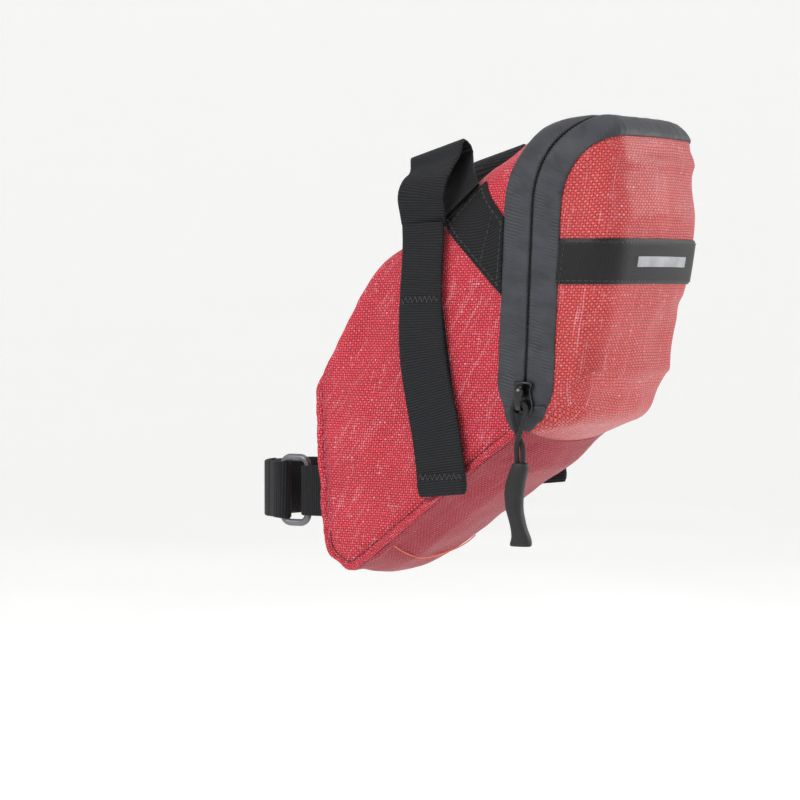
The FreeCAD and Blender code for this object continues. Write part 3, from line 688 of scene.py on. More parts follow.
def swelled(rest, out, faces):
    """The skin as it hangs filled: simulated swell, the sagging base, creases and dents."""
    x, y, z = rest.T
    free = free_play(rest)
    swell = simulated_swell(rest, faces)
    reach = np.linalg.norm(swell, axis=1)
    swell *= (np.minimum(reach, MOST_SWELL) / np.maximum(reach, 1e-9))[:, None]
    edge, way, _ = SIDE(x, z)
    side = np.abs(y) / half_width(x, z)
    rim = smooth(-4.0, -1.0, edge)
    crown = np.clip(1 - side ** 2, 0, 1) ** 0.7
    lid = smooth(8, 20, BODY(x, z)[0])
    sag = (SAG + REAR_SAG * spot(x, 112, 15)) * smooth(0.25, 0.6, -way[:, 1]) * rim * crown
    along = sag * smooth(30, 54, x) * (1 - 0.6 * smooth(116, 142, x))
    along += smooth(0.5, 0.9, -way[:, 0]) * rim * crown * smooth(-26, -8, z) * FRONT_BULGE
    groove = smooth(0.86, 0.97, side) * (1 - smooth(104, 114, x)) * (1 - smooth(30, 44, z))
    along -= GROOVE * groove * spot(edge, -3.0, 1.7)
    ripple = wobble(rest, 3, 34) * 0.5 + wobble(rest, 8, 15) * 0.16
    along += (ripple + CROWN * crown * rim) * free
    near_seam = (1 - smooth(1.5, 9, -edge)) * smooth(0.7, 0.95, side) * (1 - smooth(108, 114, x))
    along += near_seam * wobble(rest * (1, 0.1, 1), 21, 9) * 0.35
    for cx, cy, cz, wx, wy, wz, depth in DENTS:
        along += depth * spot(x, cx, wx) * spot(y, cy, wy) * spot(z, cz, wz) * np.maximum(free, 0.25)
    along -= HEEL_IN * lid * smooth(0.1, 0.6, out[:, 0]) * spot(z, 57, 17)
    along -= LID_FOOT_IN * lid * spot(x, 150, 9) * spot(z, 37, 9)
    along -= LID_TOP_IN * lid * smooth(100, 124, z) * smooth(0.2, 0.8, way[:, 0])
    return rest + swell * (free * (0.9 - 0.6 * lid))[:, None] + out * along[:, None]


REST, FACES = shell_mesh()
ON_RIM = np.arange(len(FACES)) < COLUMNS * ROUND
REST = snap(REST, 6)
index = np.arange(len(REST))
seam_points = ((index < ROUND) | (index // ROUND == COLUMNS)) & (REST[:, 0] < 112)
REST = np.where(seam_points[:, None], REST, snap(relaxed(REST, FACES, 4)))
SKIN = swelled(REST, normals_of(REST, FACES), FACES)
SKIN_OUT = normals_of(SKIN, FACES)
LOOK = BVHTree.FromPolygons([tuple(p) for p in REST], FACES)


def dressed(points):
    """Points of the bag's resting form moved with its skin, and the direction out of the skin."""
    flat = np.asarray(points, float).reshape(-1, 3)
    moved, ways = np.empty_like(flat), np.empty_like(flat)
    for k, p in enumerate(flat):
        corners, share = shares(LOOK, FACES, REST, p, 0.05)
        moved[k] = p + ((SKIN - REST)[corners] * share).sum(0)
        ways[k] = (SKIN_OUT[corners] * share).sum(0)
    return moved.reshape(np.shape(points)), unit(ways).reshape(np.shape(points))

# ---------------------------------------------------------------- mesh pieces


def attached(thing, body, node=None, bend=None):
    """Puts an object on its body, or with a bend only bakes its placement in, and hides the node that it stands
    for.
    """
    if bend:
        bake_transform(thing)
    else:
        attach(thing, body)
    if node:
        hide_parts(node)
    return thing


def piece(name, points, faces, material, body, slot, node=None, uv=None, bend=None, outward=True):
    """A mesh piece from points in millimetres; uv is one pair per face corner."""
    mesh = bpy.data.meshes.new(name)
    mesh.from_pydata((np.asarray(points) * MM).tolist(), [], faces)
    if uv is not None:
        mesh.uv_layers.new(name="mm").data.foreach_set("uv", np.asarray(uv, np.float32).ravel())
    mesh.update()
    if outward:
        work = bmesh.new()
        work.from_mesh(mesh)
        bmesh.ops.recalc_face_normals(work, faces=work.faces)
        work.to_mesh(mesh)
        work.free()
    mesh.materials.append(material)
    mesh.polygons.foreach_set("use_smooth", [True] * len(mesh.polygons))
    mesh.set_sharp_from_angle(angle=math.radians(55))
    return attached(placed(name, mesh), body, node, bend)


def clipped(columns, faces, on_rim, value):
    """The part of the skin where a value is positive, cut exactly along its zero."""
    new, rows, kept, kept_rim = {}, [], [], []

    def vertex(key, row):
        if key not in new:
            new[key] = len(rows)
            rows.append(row)
        return new[key]

    for face, rim in zip(faces, on_rim):
        inside = [value[v] > 0 for v in face]
        if not any(inside):
            continue
        loop = []
        for k, v in enumerate(face):
            w = face[(k + 1) % len(face)]
            if inside[k]:
                loop.append(vertex(v, columns[v]))
            if inside[k] != inside[(k + 1) % len(face)]:
                low, high = min(v, w), max(v, w)
                t = value[low] / (value[low] - value[high])
                loop.append(vertex((low, high), columns[low] * (1 - t) + columns[high] * t))
        if len(loop) > 2:
            kept.append(tuple(loop))
            kept_rim.append(rim)
    return np.array(rows), kept, np.array(kept_rim)


WRAP, FRONT, BASE, TOP = 0, 2, 3, 4  # panels; the left side is -1 and the right side 1
FRONT_FROM, FRONT_TO, BASE_TO = 175.4, -113.4, -17.5  # where the rim's panels meet, in degrees
ZIP_ENDS = (29, 32)


def degrees_round(x, z):
    """The angle of places in the side view round a point inside the bag."""
    return np.degrees(np.arctan2(z - 45, x - 70))


def panel_of(rest, faces, on_rim, lid):
    """Each face's panel: a side, the front, the base, the top, or what wraps round the lid's rear."""
    middle = np.array([rest[list(f)].mean(0) for f in faces])
    angle = degrees_round(middle[:, 0], middle[:, 2])
    rise = SIDE(middle[:, 0], middle[:, 2])[1][:, 1]
    if lid:
        rim = np.where(rise < -0.55, BASE, np.where(rise > 0.6, TOP, WRAP))
    else:
        rim = np.where(angle < BASE_TO, BASE, TOP)
        rim[(angle < FRONT_TO) | (angle > FRONT_FROM)] = FRONT
    return np.where(on_rim, rim, np.sign(middle[:, 1])).astype(int)


def cloth_layer(name, node, depths, panel, material, slot, bend=None, lap=0):
    """One layer of the wall: one panel of the skin or all of it, between two offsets.

    It keeps a setback from the zip, and passes the zip's line by a lap at the fold. A layer given a bend is the
    lid's.
    """
    setback, outer, inner = depths
    lid = bend is not None
    zipped = smooth(*ZIP_ENDS, REST[:, 2])
    past = BODY(REST[:, 0], REST[:, 2])[0] * (1 if lid else -1) - setback * zipped + lap * (1 - zipped)
    rows, faces, on_rim = clipped(np.concatenate([REST, SKIN, SKIN_OUT], 1), FACES, ON_RIM, past)
    rest, skin, out = rows[:, :3], rows[:, 3:6], unit(rows[:, 6:9])
    panels = panel_of(rest, faces, on_rim, lid)
    if panel is not None:
        faces = [f for f, own in zip(faces, panels) if own == panel]
        panels = panels[panels == panel]
    wrap = PLAN(rest[:, 0] - LEAN * (rest[:, 2] - PLAN_Z), rest[:, 1])[2]
    round_side = SIDE(rest[:, 0], rest[:, 2])[2]
    used = sorted({v for f in faces for v in f})
    number = {v: k for k, v in enumerate(used)}
    count = len(used)
    all_faces, uv, edges = [], [], {}

    def corners(face, own):
        if own < FRONT:
            return [(wrap[v], rest[v, 2]) for v in face]
        along = round_side[list(face)]
        if along.max() - along.min() > SIDE.total / 2:
            along = np.where(along < SIDE.total / 2, along + SIDE.total, along)
        return [(rest[v, 1], s) for v, s in zip(face, along)]

    for face, own in zip(faces, panels):
        pairs = corners(face, own)
        loop = [number[v] for v in face]
        all_faces += [loop, [v + count for v in reversed(loop)]]
        uv += pairs + pairs[::-1]
        for k, v in enumerate(loop):
            after = (k + 1) % len(loop)
            if edges.pop((loop[after], v), None) is None:
                edges[(v, loop[after])] = (pairs[k], pairs[after])
    for (v, w), (one, two) in edges.items():
        all_faces.append([w, v, v + count, w + count])
        uv += [two, one, one, two]
    points = np.concatenate([(skin + out * offset)[used] for offset in (outer, inner)])
    return piece(name, points, all_faces, material, "lid" if lid else "bag", slot, node, uv, bend, False)


def slab(name, points, out, outer, inner, material, body, slot, node, uv=None, bend=None, edge=0.55):
    """A thin piece lying on a surface: a grid of points, lifted between two offsets."""
    n, m = points.shape[:2]
    size = n * m
    lift = np.full((n, m), float(outer))
    lift[[0, -1]] = lift[:, [0, -1]] = inner + (outer - inner) * edge
    over = (points + out * lift[..., None]).reshape(-1, 3)
    below = (points + out * inner).reshape(-1, 3)
    if uv is None:
        uv = np.stack(np.meshgrid(lengths(points[n // 2]), lengths(points[:, m // 2])), -1)
    flat = uv.reshape(-1, 2)
    quads = grid_faces(n, m, around=False)
    faces = quads + [tuple(v + size for v in reversed(f)) for f in quads]
    ring = [*range(0, size, m), *range(size - m + 1, size), *range(size - m - 1, 0, -m), *range(m - 2, 0, -1)]
    faces += [(a, b, b + size, a + size) for a, b in zip(ring, ring[1:] + ring[:1])]
    return piece(name, np.concatenate([over, below]), faces, material, body, slot, node,
                 [flat[v % size] for f in faces for v in f], bend)


def section(width, thick, flats=10):
    """A strap's cross-section: flat faces and rounded edges."""
    half, r = width / 2 - thick / 2, thick / 2
    points = [(x, r) for x in np.linspace(-half, half, flats)]
    points += [(half + r * math.sin(a), r * math.cos(a)) for a in (0.8, 1.57, 2.34)]
    points += [(x, -r) for x in np.linspace(half, -half, flats)]
    points += [(-half - r * math.sin(a), r * math.cos(a)) for a in (2.34, 1.57, 0.8)]
    return np.array(points)


def strap(name, path, across, width, thick, material, body, slot, node, bend=None):
    """A flat strap swept along a path, with its width direction at each point."""
    path, across = np.asarray(path, float), unit(np.asarray(across, float))
    tangent = unit(np.gradient(path, axis=0))
    across = unit(across - tangent * (across * tangent).sum(1, keepdims=True))
    normal = np.cross(tangent, across)
    count = len(path)
    own = np.array([section(w, t)
                    for w, t in zip(np.broadcast_to(width, count), np.broadcast_to(thick, count))])
    rings = path[:, None] + own[..., :1] * across[:, None] + own[..., 1:] * normal[:, None]
    m = own.shape[1]
    over = own[..., 0] + np.broadcast_to(width, count)[:, None] / 2
    flat = np.stack([over, np.repeat(lengths(path)[:, None], m, 1)], -1).reshape(-1, 2)
    faces = grid_faces(count, m)
    for start in (0, (count - 1) * m):
        faces += [(start + j, start + j + 1, start + m - 2 - j, start + m - 1 - j) for j in range(m // 2 - 1)]
    return piece(name, rings.reshape(-1, 3), faces, material, body, slot, node,
                 [flat[v] for f in faces for v in f], bend)


def capped(rings):
    """Points and faces of a closed body through rings of points."""
    rings = np.asarray(rings)
    rows, sides = rings.shape[:2]
    last = range((rows - 1) * sides, rows * sides)
    return rings.reshape(-1, 3), grid_faces(rows, sides) + [tuple(range(sides))[::-1], tuple(last)]


def turns(sides):
    """Directions evenly round a circle."""
    return circle(np.arange(sides) / sides * 2 * math.pi)


def tube(path, radius, sides=6):
    """Points and faces of a round tube along a path, closed at both ends."""
    path = np.asarray(path, float)
    tangent = unit(np.gradient(path, axis=0))
    one = unit(np.cross(tangent, (0.31, 0.22, 0.92)))
    two = np.cross(tangent, one)
    way, radii = turns(sides), np.broadcast_to(radius, len(path))
    return capped(path[:, None]
                  + radii[:, None, None] * (one[:, None] * way[:, :1] + two[:, None] * way[:, 1:]))


def joined(parts):
    """Several (points, faces) as one."""
    points, faces, start = [], [], 0
    for p, f in parts:
        points.append(p)
        faces += [tuple(v + start for v in face) for face in f]
        start += len(p)
    return np.concatenate(points), faces


def stitches(name, rows, stitch, gap, radius, material, body, slot):
    """Threads sewn along rows of (points, outward directions): short raised dashes."""
    parts = []
    hump = np.array((-0.9, 0.35, 0.7, 0.35, -0.9))[:, None] * radius
    for path, out in rows:
        both = even(np.concatenate([path, out], 1), 0.5)
        length = lengths(both[:, :3])
        at = 0.3
        while at + stitch < length[-1]:
            line = between(np.linspace(at, at + stitch, 5), length, both)
            parts.append(tube(line[:, :3] + unit(line[:, 3:]) * hump, radius))
            at += stitch + gap
    piece(name, *joined(parts), material, body, slot, outward=False)


FOLD_WAY = np.array((0.7, 0, 0.7))
FOLD_START, FOLD_REACH = np.array((0.1159, 0, 0.0282)), 0.0075


def fold(depth=0.0):
    """The lid's bend for a layer this many mm inside the outer cloth: its two bodies and the ends of its axis.
    """
    start = FOLD_START + FOLD_WAY * depth * 0.7 * MM
    return "bag", "lid", tuple(start), tuple(start + FOLD_WAY * FOLD_REACH)


# ---------------------------------------------------------------- fabric, foam and lining

# Each layer's setback from the zip, and its outer and inner offsets from the skin.
CLOTH, PADDING, LINING, LID_LINING = (1.3, 0.0, -0.8), (4.2, -0.9, -1.9), (4.2, -2.0, -2.5), (4.2, -3.3, -3.8)
for sign, hand in HANDS:
    cloth_layer(f"{hand}_side_cloth", f"side_panel_{hand}", CLOTH, sign, red_side, "red_fabric")
    cloth_layer(f"{hand}_foam", f"foam_{hand}", PADDING, sign, foam, "closed_cell_foam")
cloth_layer("front_cloth", "front_panel", CLOTH, FRONT, red_side, "red_fabric")
cloth_layer("base_cloth", "bottom_panel", CLOTH, BASE, red_base_in_shade, "red_fabric")
cloth_layer("top_cloth", "top_panel", CLOTH, TOP, red_side, "red_fabric")
cloth_layer("base_sheet", "base_stiffener", PADDING, BASE, stiff_sheet, "stiffener_sheet")
cloth_layer("body_lining", "lining_body", LINING, None, lining_cloth, "lining_cloth")
cloth_layer("lid_cloth", "rear_lid", CLOTH, None, red_rear, "red_fabric", fold())
cloth_layer("lid_padding", "lid_foam", PADDING, None, foam, "closed_cell_foam", fold(1.4))
cloth_layer("lid_inside_cloth", "lining_lid", LID_LINING, None, lining_cloth, "lining_cloth", fold(3.5), 5.0)

# ---------------------------------------------------------------- zip

ZIP_LEAN, ZIP_FOOT, ZIP_LOW = math.radians(2.484), 112.08, 31.0


def zip_at(z):
    """How far back the zip's straight run is at a height."""
    return ZIP_FOOT + (z + 60) * math.tan(ZIP_LEAN)


def from_zip(p):
    """Distance past the plane of the zip, and the direction past it."""
    g, w, _ = BODY(p[:, 0], p[:, 2])
    return g[:, None], in_side(w)


def zip_line(step=1.0):
    """The zip's line on the bag: up the left side, over the top and down the right."""
    p, heading = on_side(np.array([zip_at(ZIP_LOW)]), np.array([ZIP_LOW]), -1), np.array((0, 0, 1.0))
    path = []
    while len(path) <= 60 or p[0, 2] >= ZIP_LOW or p[0, 1] <= 0:
        for _ in range(3):
            f, n = envelope(p)
            g, m = from_zip(p)
            p = p - n * f[:, None] - m * g
        path.append(p[0])
        t = unit(np.cross(m, n))
        heading = (t if t[0] @ heading > 0 else -t)[0]
        p = p + heading * step
    return np.array(path)


def beside_line(line, offsets):
    """Rows of points on the bag at given distances to one side of the zip's line."""
    rows, p, last = [], line, 0.0
    for offset in offsets:
        for part in np.repeat(np.linspace(last, offset, 3)[1:], 3):
            f, n = envelope(p)
            p = p - n * f[:, None]
            g, m = from_zip(p)
            flat = m - n * (m * n).sum(1, keepdims=True)
            p = p + flat * ((part - g) / np.maximum((flat * flat).sum(1, keepdims=True), 0.15))
        last = offset
        rows.append(p)
    return np.array(rows)


LINE = zip_line()
LINE_AT = lengths(LINE)
SPREAD = np.array((0.55, 0.9, 1.6, 3.0, 4.6, 6.2, 7.8, 9.4, 10.6, 11.2, 11.5))  # rows across half a tape
# How high each row stands.
PROFILE = np.array((0.0, 0.3, 0.42, 0.36, 0.30, 0.27, 0.25, 0.27, 0.28, 0.18, 0.0))
NARROW = 1 - 0.42 * (1 - smooth(-2, 13, np.minimum(LINE_AT, LINE_AT[-1] - LINE_AT)))
TOOTH_PITCH = 1.3
for side, where, body, bend in ((-1, "body", "bag", None), (1, "lid", "lid", fold())):
    rows = LINE + (beside_line(LINE, SPREAD * side) - LINE) * NARROW[None, :, None]
    grid, out = dressed(rows.transpose(1, 0, 2))
    creased = wobble(grid, 5 + side, 9) * 0.07 + wobble(grid, 15 + side, 26) * 0.09
    lift = (0.55 + PROFILE + creased * (PROFILE > 0.2))[..., None]
    uv = np.stack(np.meshgrid(SPREAD * side, LINE_AT), -1)
    slab(f"{where}_tape", grid + out * (lift - 0.95), out, 0.95, 0.45, zip_tape, body, "zip_tape",
         f"zip_tape_{where}", uv, bend, edge=1.0)
    (far, near), ways = dressed(beside_line(LINE, [2.2 * side, 0.12 * side]))
    teeth = []
    for at in np.arange(2 + TOOTH_PITCH / 2 * (side > 0), LINE_AT[-1] - 2, TOOTH_PITCH):
        one, two, way = (between(at, LINE_AT, rows) for rows in (far, near, ways[1]))
        tooth = [one - way * 0.15, (one + two) / 2 + way * 0.1, two + way * 0.05]
        teeth.append(tube(tooth, (0.38, 0.42, 0.45)))
    piece(f"{where}_teeth", *joined(teeth), coil_plastic, body, "zip_coil", f"zip_coil_{where}", bend=bend,
          outward=False)


def side_patch(corners, rows, columns, round_off, sign):
    """A grid on one side of the bag filling a four-sided shape (x, z), with its corners drawn in."""
    a, b, c, d = (np.array(p, float) for p in corners)
    s, t = np.meshgrid(np.linspace(-1, 1, columns), np.linspace(-1, 1, rows))
    s, t = (s * np.sqrt(1 - round_off * t * t) + 1) / 2, (t * np.sqrt(1 - round_off * s * s) + 1) / 2
    s, t = s[..., None], t[..., None]
    flat = (a * (1 - s) + b * s) * (1 - t) + (d * (1 - s) + c * s) * t
    return dressed(on_side(flat[..., 0], flat[..., 1], sign))


COVER = ((110.9, 26.4), (122.8, 31.9), (125.3, 36.8), (107.2, 35.4))
for sign, hand in HANDS:
    slab(f"zip_end_cover_{hand}", *side_patch(COVER, 14, 16, 0.16, sign), 1.55, 0.1, zip_tape, "bag",
         "black_binding", f"zip_end_{hand}", edge=0.7)

# ---------------------------------------------------------------- rolled edges and their stitching


def seam_path(sign):
    """The side seam from the zip's lower end, along the base and up the front."""
    loop = SIDE.spaced(900)
    angle = degrees_round(*loop.T)
    keep = ((angle > 171) | (angle < BASE_TO)) & (BODY(*loop.T)[0] < -1.0)
    order = np.argsort(np.where(angle[keep] > 0, angle[keep] - 360, angle[keep]))
    loop = loop[keep][order][::-1]
    return snap(in_side(loop, sign * half_width(*loop.T))), in_side(SIDE(*loop.T)[1])


ROLL_RADIUS = 1.3


def roll(name, path, radius, material, body, slot, node, sides=14):
    """A rolled edge: a soft round tube with thread coordinates."""
    points, faces = tube(path, radius, sides)
    length = lengths(path)
    uv = []
    for face in faces:
        places = [v % sides for v in face]
        wraps = max(places) - min(places) > sides / 2
        for v, j in zip(face, places):
            j += sides if wraps and j == 0 else 0
            uv.append((j / sides * 2 * math.pi * ROLL_RADIUS, length[v // sides]))
    piece(name, points, faces, material, body, slot, node, uv, outward=False)


SEWN_INSET = 2.3
for sign, hand in HANDS:
    seam, way = seam_path(sign)
    upper = smooth(-22, 4, seam[:, 2]) * (seam[:, 0] < 60)
    place, out = dressed(seam)
    run = np.arange(len(seam)) / len(seam)
    thick = (0.95 + 0.75 * upper) * (0.12 + 0.88 * smooth(0, 0.04, run) * smooth(0, 0.08, 1 - run))
    step = wobble(place, 31, 11) * 0.10 * (0.4 + upper)
    core = place + out * (step - thick * 0.55)[:, None]
    path = even(np.concatenate([core, thick[:, None]], 1), 1.1)
    roll(f"rolled_edge_{hand}", path[:, :3], path[:, 3], red_side, "bag", "red_piping", f"piping_{hand}")
    # The base seam's close dark dashes are real stitching and also painted shadow of the groove beside the seam.
    for name, part, stitch, gap, radius, yarn in (("front", upper > 0.35, 1.3, 0.8, 0.24, lilac_thread),
                                                  ("seam", upper < 0.25, 2.3, 0.3, 0.2, dark_thread_and_seam_shade)):
        line = seam[part] - way[part] * SEWN_INSET
        row = dressed(on_side(line[:, 0], line[:, 2], sign))
        stitches(f"{name}_stitches_{hand}", [row], stitch, gap, radius, yarn, "bag", "red_piping")

LOOSE = np.array([(54.0, -31.0), (52.6, -22.0), (51.6, -10.0), (52.2, 2.0), (54.2, 10.0), (57.2, 15.0),
                  (60.5, 17.5)])
under = np.interp(LOOSE[:, 0], (35, 53, 71, 92, 104), (-27, -16, -3, 11.5, 21)) - 1
place, out = dressed(snap(np.stack([*LOOSE.T, under], -1)))
piece("loose_thread", *tube(resampled(place + out * 0.5, 0.8), 0.24), orange_thread, "bag", "red_piping",
      outward=False)

# ---------------------------------------------------------------- light band, patches and loop tape


def band_grid(x_from, z_low, z_high, rows):
    """A strip of the bag's skin round its rear between two heights."""
    ends = PLAN(np.array([x_from, x_from]), np.array([-WIDEST, WIDEST]))[2]
    length = (ends[1] - ends[0]) % PLAN.total
    p = PLAN.at(ends[0] + np.linspace(0, length, int(length / 1.2)))[:, None]
    z = np.linspace(z_low, z_high, rows) + 0 * p[..., 0]
    grid = np.stack([p[..., 0] + LEAN * (z - PLAN_Z), p[..., 1] + 0 * z, z], -1)
    return snap(grid.reshape(-1, 3)).reshape(grid.shape)


BAND_FROM, BAND_LOW, BAND_HIGH = 128.4, 81.2, 97.9
BAND_LIFT, STRIPE_HALF = 1.15, 21.5
grid, out = dressed(band_grid(BAND_FROM, BAND_LOW, BAND_HIGH, 14))
slab("light_band", grid, out, BAND_LIFT, 0.0, satin_webbing, "lid", "satin_webbing", "light_strap", edge=0.5)
middle = np.abs(grid[:, 0, 1]) < STRIPE_HALF
slab("light_band_stripe", grid[middle][:, 5:9], out[middle][:, 5:9], 1.42, 1.1, reflective, "lid",
     "reflective_print", "reflective_strip")
top = grid + out * BAND_LIFT
rows = [(top[:, k], out[:, k]) for k in (1, -2)] + [(top[k], out[k]) for k in (2, -3)]
stitches("light_band_stitches", rows, 1.6, 0.8, 0.17, black_thread, "lid", "satin_webbing")

ZIP_CLEAR, TOP_CLEAR, LEAST_OUT = -11.6, -0.3, 30.6  # limits of the anchor patch
PATCH = [np.array(p, float) for p in ((107.4, 76), (124.6, 86), (89.6, 128), (70.4, 112))]
LOOP = ((72.5, 14), (89.5, 14), (80.3, 72), (63.3, 72))
for sign, hand in HANDS:
    lines = []
    for w in np.linspace(0.012, 0.988, 22):
        one, two = PATCH[0] + (PATCH[1] - PATCH[0]) * w, PATCH[3] + (PATCH[2] - PATCH[3]) * w
        line = one + (two - one) * np.linspace(0, 1, 160)[:, None]
        surface = on_side(line[:, 0], line[:, 1], sign)
        kept = (BODY(*line.T)[0] < ZIP_CLEAR) & (SIDE(*line.T)[0] < TOP_CLEAR)
        surface = surface[kept & (np.abs(surface[:, 1]) > LEAST_OUT)]
        lines.append(even(surface, lengths(surface)[-1] / 37))
    count = min(len(line) for line in lines)
    patch = np.array([line[np.linspace(0, len(line) - 1, count).round().astype(int)] for line in lines])
    grid, out = dressed(patch.transpose(1, 0, 2))
    slab(f"anchor_patch_{hand}", grid, out, 1.15, 0.0, black_twill, "bag", "black_twill",
         f"strap_anchor_{hand}", edge=0.6)
    top = grid + out * 1.12
    last = grid.shape[0] - 1
    inner = slice(1, -1)
    rows = [(top[at], out[at]) for at in ((last // 3, inner), (inner, 2), (2, inner), (inner, -3),
                                          (last - 5, inner))]
    stitches(f"patch_stitches_{hand}", rows, 1.7, 0.8, 0.2, black_thread, "bag", "black_twill")
    slab(f"loop_patch_{hand}", *side_patch(LOOP, 30, 12, 0.02, sign), 0.75, 0.0,
         loop_tape, "bag", "loop_tape",
         f"loop_tape_{hand}")

# ---------------------------------------------------------------- hanging tails and rail straps

TAIL = np.array([  # height, front edge, rear edge, distance out from the side
    (104.3, 62.4, 82.0, 3.8), (97.0, 62.7, 82.2, 3.85), (88.0, 62.4, 81.8, 3.9), (76.0, 61.6, 81.6, 3.85),
    (64.0, 61.2, 82.4, 3.8), (52.0, 62.0, 84.0, 3.8), (38.0, 64.8, 87.2, 3.9), (26.0, 67.6, 90.4, 4.0),
    (14.0, 69.6, 92.4, 4.0), (6.0, 70.5, 93.6, 3.9), (1.8, 71.0, 94.0, 3.85)])
RAIL = np.array([  # place, slant of the width direction, width
    (72.15, -36.4, 103.4, 1, 0.04, 19.1), (72.4, -38.0, 108.0, 1, 0.08, 19.5), (72.6, -39.6, 114.0, 1, 0.14, 20),
    (73.4, -38.4, 119.2, 1, 0.22, 20.6), (74.2, -35.2, 123.4, 1, 0.28, 21.5), (73.7, -30.6, 127.2, 1, 0.3, 22.6),
    (72.5, -27.4, 131.2, 1, 0.3, 23.4), (71.9, -24.4, 132.2, 1, 0.3, 23.8), (72.6, -21.2, 130.4, 1, 0.3, 23.8),
    (73.1, -20.7, 127.4, 1, 0.3, 23.6), (74.6, -22.6, 124.6, 0.95, 0.34, 23.6),
    (77.2, -26.0, 121.0, 0.88, 0.46, 23.8), (80.2, -29.6, 117.2, 0.82, 0.57, 24),
    (82.8, -32.2, 113.8, 0.79, 0.62, 24), (85.6, -34.4, 110.6, 0.77, 0.64, 24)])
OUT_LEAN = 0.11  # how the tails' outer face turns towards the rear

for sign, hand in HANDS:
    tail = f"tail_{hand}"
    z, front, rear, off = resampled(TAIL, 1.2).T
    centre = (front + rear) / 2
    path = np.stack([centre, sign * (half_width(centre, z) + off - 0.9), z], -1)
    across = np.array((1.0, sign * OUT_LEAN, 0.06))
    width = np.clip(rear - front, 0, 23.4) * 0.97
    foot = z - z.min()
    thick = (1.5 + 1.2 * np.clip((11 - z) / 1.5, 0, 1)) * (0.55 + 0.45 * np.clip(foot, 0, 1))
    rounding = 1 - 0.10 * (1 - np.sqrt(np.clip(foot / 3.0, 0, 1)))
    strap(f"tail_strap_{hand}", path, np.tile(across, (len(path), 1)), width * rounding, thick, black_webbing,
          tail, "black_webbing", f"strap_tail_{hand}")
    outward = np.array((OUT_LEAN, sign * 0.994, 0.0))
    rows = []
    for level, lift in ((76.0, 0.88), (8.8, 1.42)):
        k = np.abs(z - level).argmin()
        u = np.linspace(-width[k] / 2 + 1.2, width[k] / 2 - 1.2, 60)
        zig = (np.abs((u / 2.2) % 1 * 2 - 1) * 2 - 1) * 1.3
        line = path[k] + u[:, None] * unit(across) + np.array((0, 0, 1)) * zig[:, None] + outward * lift
        rows.append((line, np.tile(outward, (60, 1))))
    stitches(f"tail_zigzag_{hand}", rows, 1.5, 0.15, 0.2, grey_thread, tail, "black_webbing")
    hooked = (z > 12.5) & (z < 75.5)
    strap(f"tail_hooks_{hand}", path[hooked] - outward * 1.32, np.tile(across, (hooked.sum(), 1)),
          width[hooked] - 4.2, 0.95, hook_tape, tail, "hook_tape", f"hook_tape_{hand}")
    rail = resampled(RAIL, 1.2) * (1, -sign, 1, 1, 1, 1)
    strap(f"rail_loop_{hand}", rail[:, :3], in_side(rail[:, 3:5]), rail[:, 5], 1.45, black_webbing, "bag",
          "black_webbing", f"rail_strap_{hand}")

# ---------------------------------------------------------------- seatpost strap, ring and flap

BAR, REAR_BAR = np.array((-2.7, -17.2)), np.array((8.7, -17.2))  # the ring's upright wires, in plan


def arc(start, stop, count, radius=1.0, centre=(0, 0)):
    """Points in plan along an arc between two angles."""
    angle = np.radians(np.linspace(start, stop, count))
    return np.array(centre) + np.broadcast_to(radius, count)[:, None] * circle(angle)


def upright_strap(name, plan, width, thick, material, body, slot, node, bulge=0.0, bend=None):
    """A strap standing on edge along a path in plan."""
    path = even(np.concatenate([plan, np.zeros((len(plan), 1))], 1), 0.8)
    path[:, 2] += bulge * np.sin(np.arange(len(path)) * 0.21)
    strap(name, path, np.tile((0.0, 0.0, 1.0), (len(path), 1)), width, thick, material, body, slot, node, bend)


plan = [[(21.3, 14.65), (16, 14.65), (10, 14.65)], arc(90, 252, 60, 14.6), arc(95, -95, 10, 2.4, BAR)]
upright_strap("post_band", np.concatenate(plan), 22.6, 1.6, black_webbing, "bag", "black_webbing",
              "post_strap", 0.12)
bulged = 17.85 + 0.5 * np.sin(np.linspace(0, math.pi, 30))
plan = resampled(np.concatenate([[(-2.7, -19.65), (-5.4, -18.9)], arc(238, 177, 30, bulged)]), 0.8)
upright_strap("flap_strap", plan, 22.4, 1.55, black_webbing, "flap", "black_webbing", "post_flap", 0.1,
              ("bag", "flap", (-0.0029, -0.0196, 0), (-0.0078, -0.0182, 0)))
upright_strap("flap_hooks", arc(184, 238, 26, 16.6), 19.6, 0.85, hook_tape, "flap", "hook_tape",
              "flap_hook_tape")
plan = np.concatenate([[(21.3, -19.15), (17, -19.25), (12, -19.35)], arc(272, 88, 14, 2.15, REAR_BAR),
                       [(12, -15.15), (17, -15.3), (21.3, -15.4)]])
upright_strap("ring_tab", plan, 19.6, 1.25, black_webbing, "bag", "black_webbing", "post_tab")

RING_HALF, RING_CORNER, RING_WIRE = np.array((5.7, 12.9)), 3.5, 1.4
RING_CENTRE = (3.0, 0)
loop = np.concatenate([arc(start, start + 90, 9, RING_CORNER, way * (RING_HALF - RING_CORNER) + RING_CENTRE)
                       for start, way in ((0, (1, 1)), (90, (-1, 1)), (180, (-1, -1)), (270, (1, -1)))])
path, flat = in_side(loop, BAR[1]), np.array((0, 1.0, 0))
side = unit(np.cross(unit(np.roll(path, -1, 0) - np.roll(path, 1, 0)), flat))
way = turns(16)
rings = path[:, None] + RING_WIRE * (side[:, None] * way[:, :1] + flat * way[:, 1:])
piece("wire_ring", rings.reshape(-1, 3), grid_faces(len(path), 16, closed=True),
      ring_wire, "bag", "ring_wire",
      "post_ring")

# ---------------------------------------------------------------- slider and pull

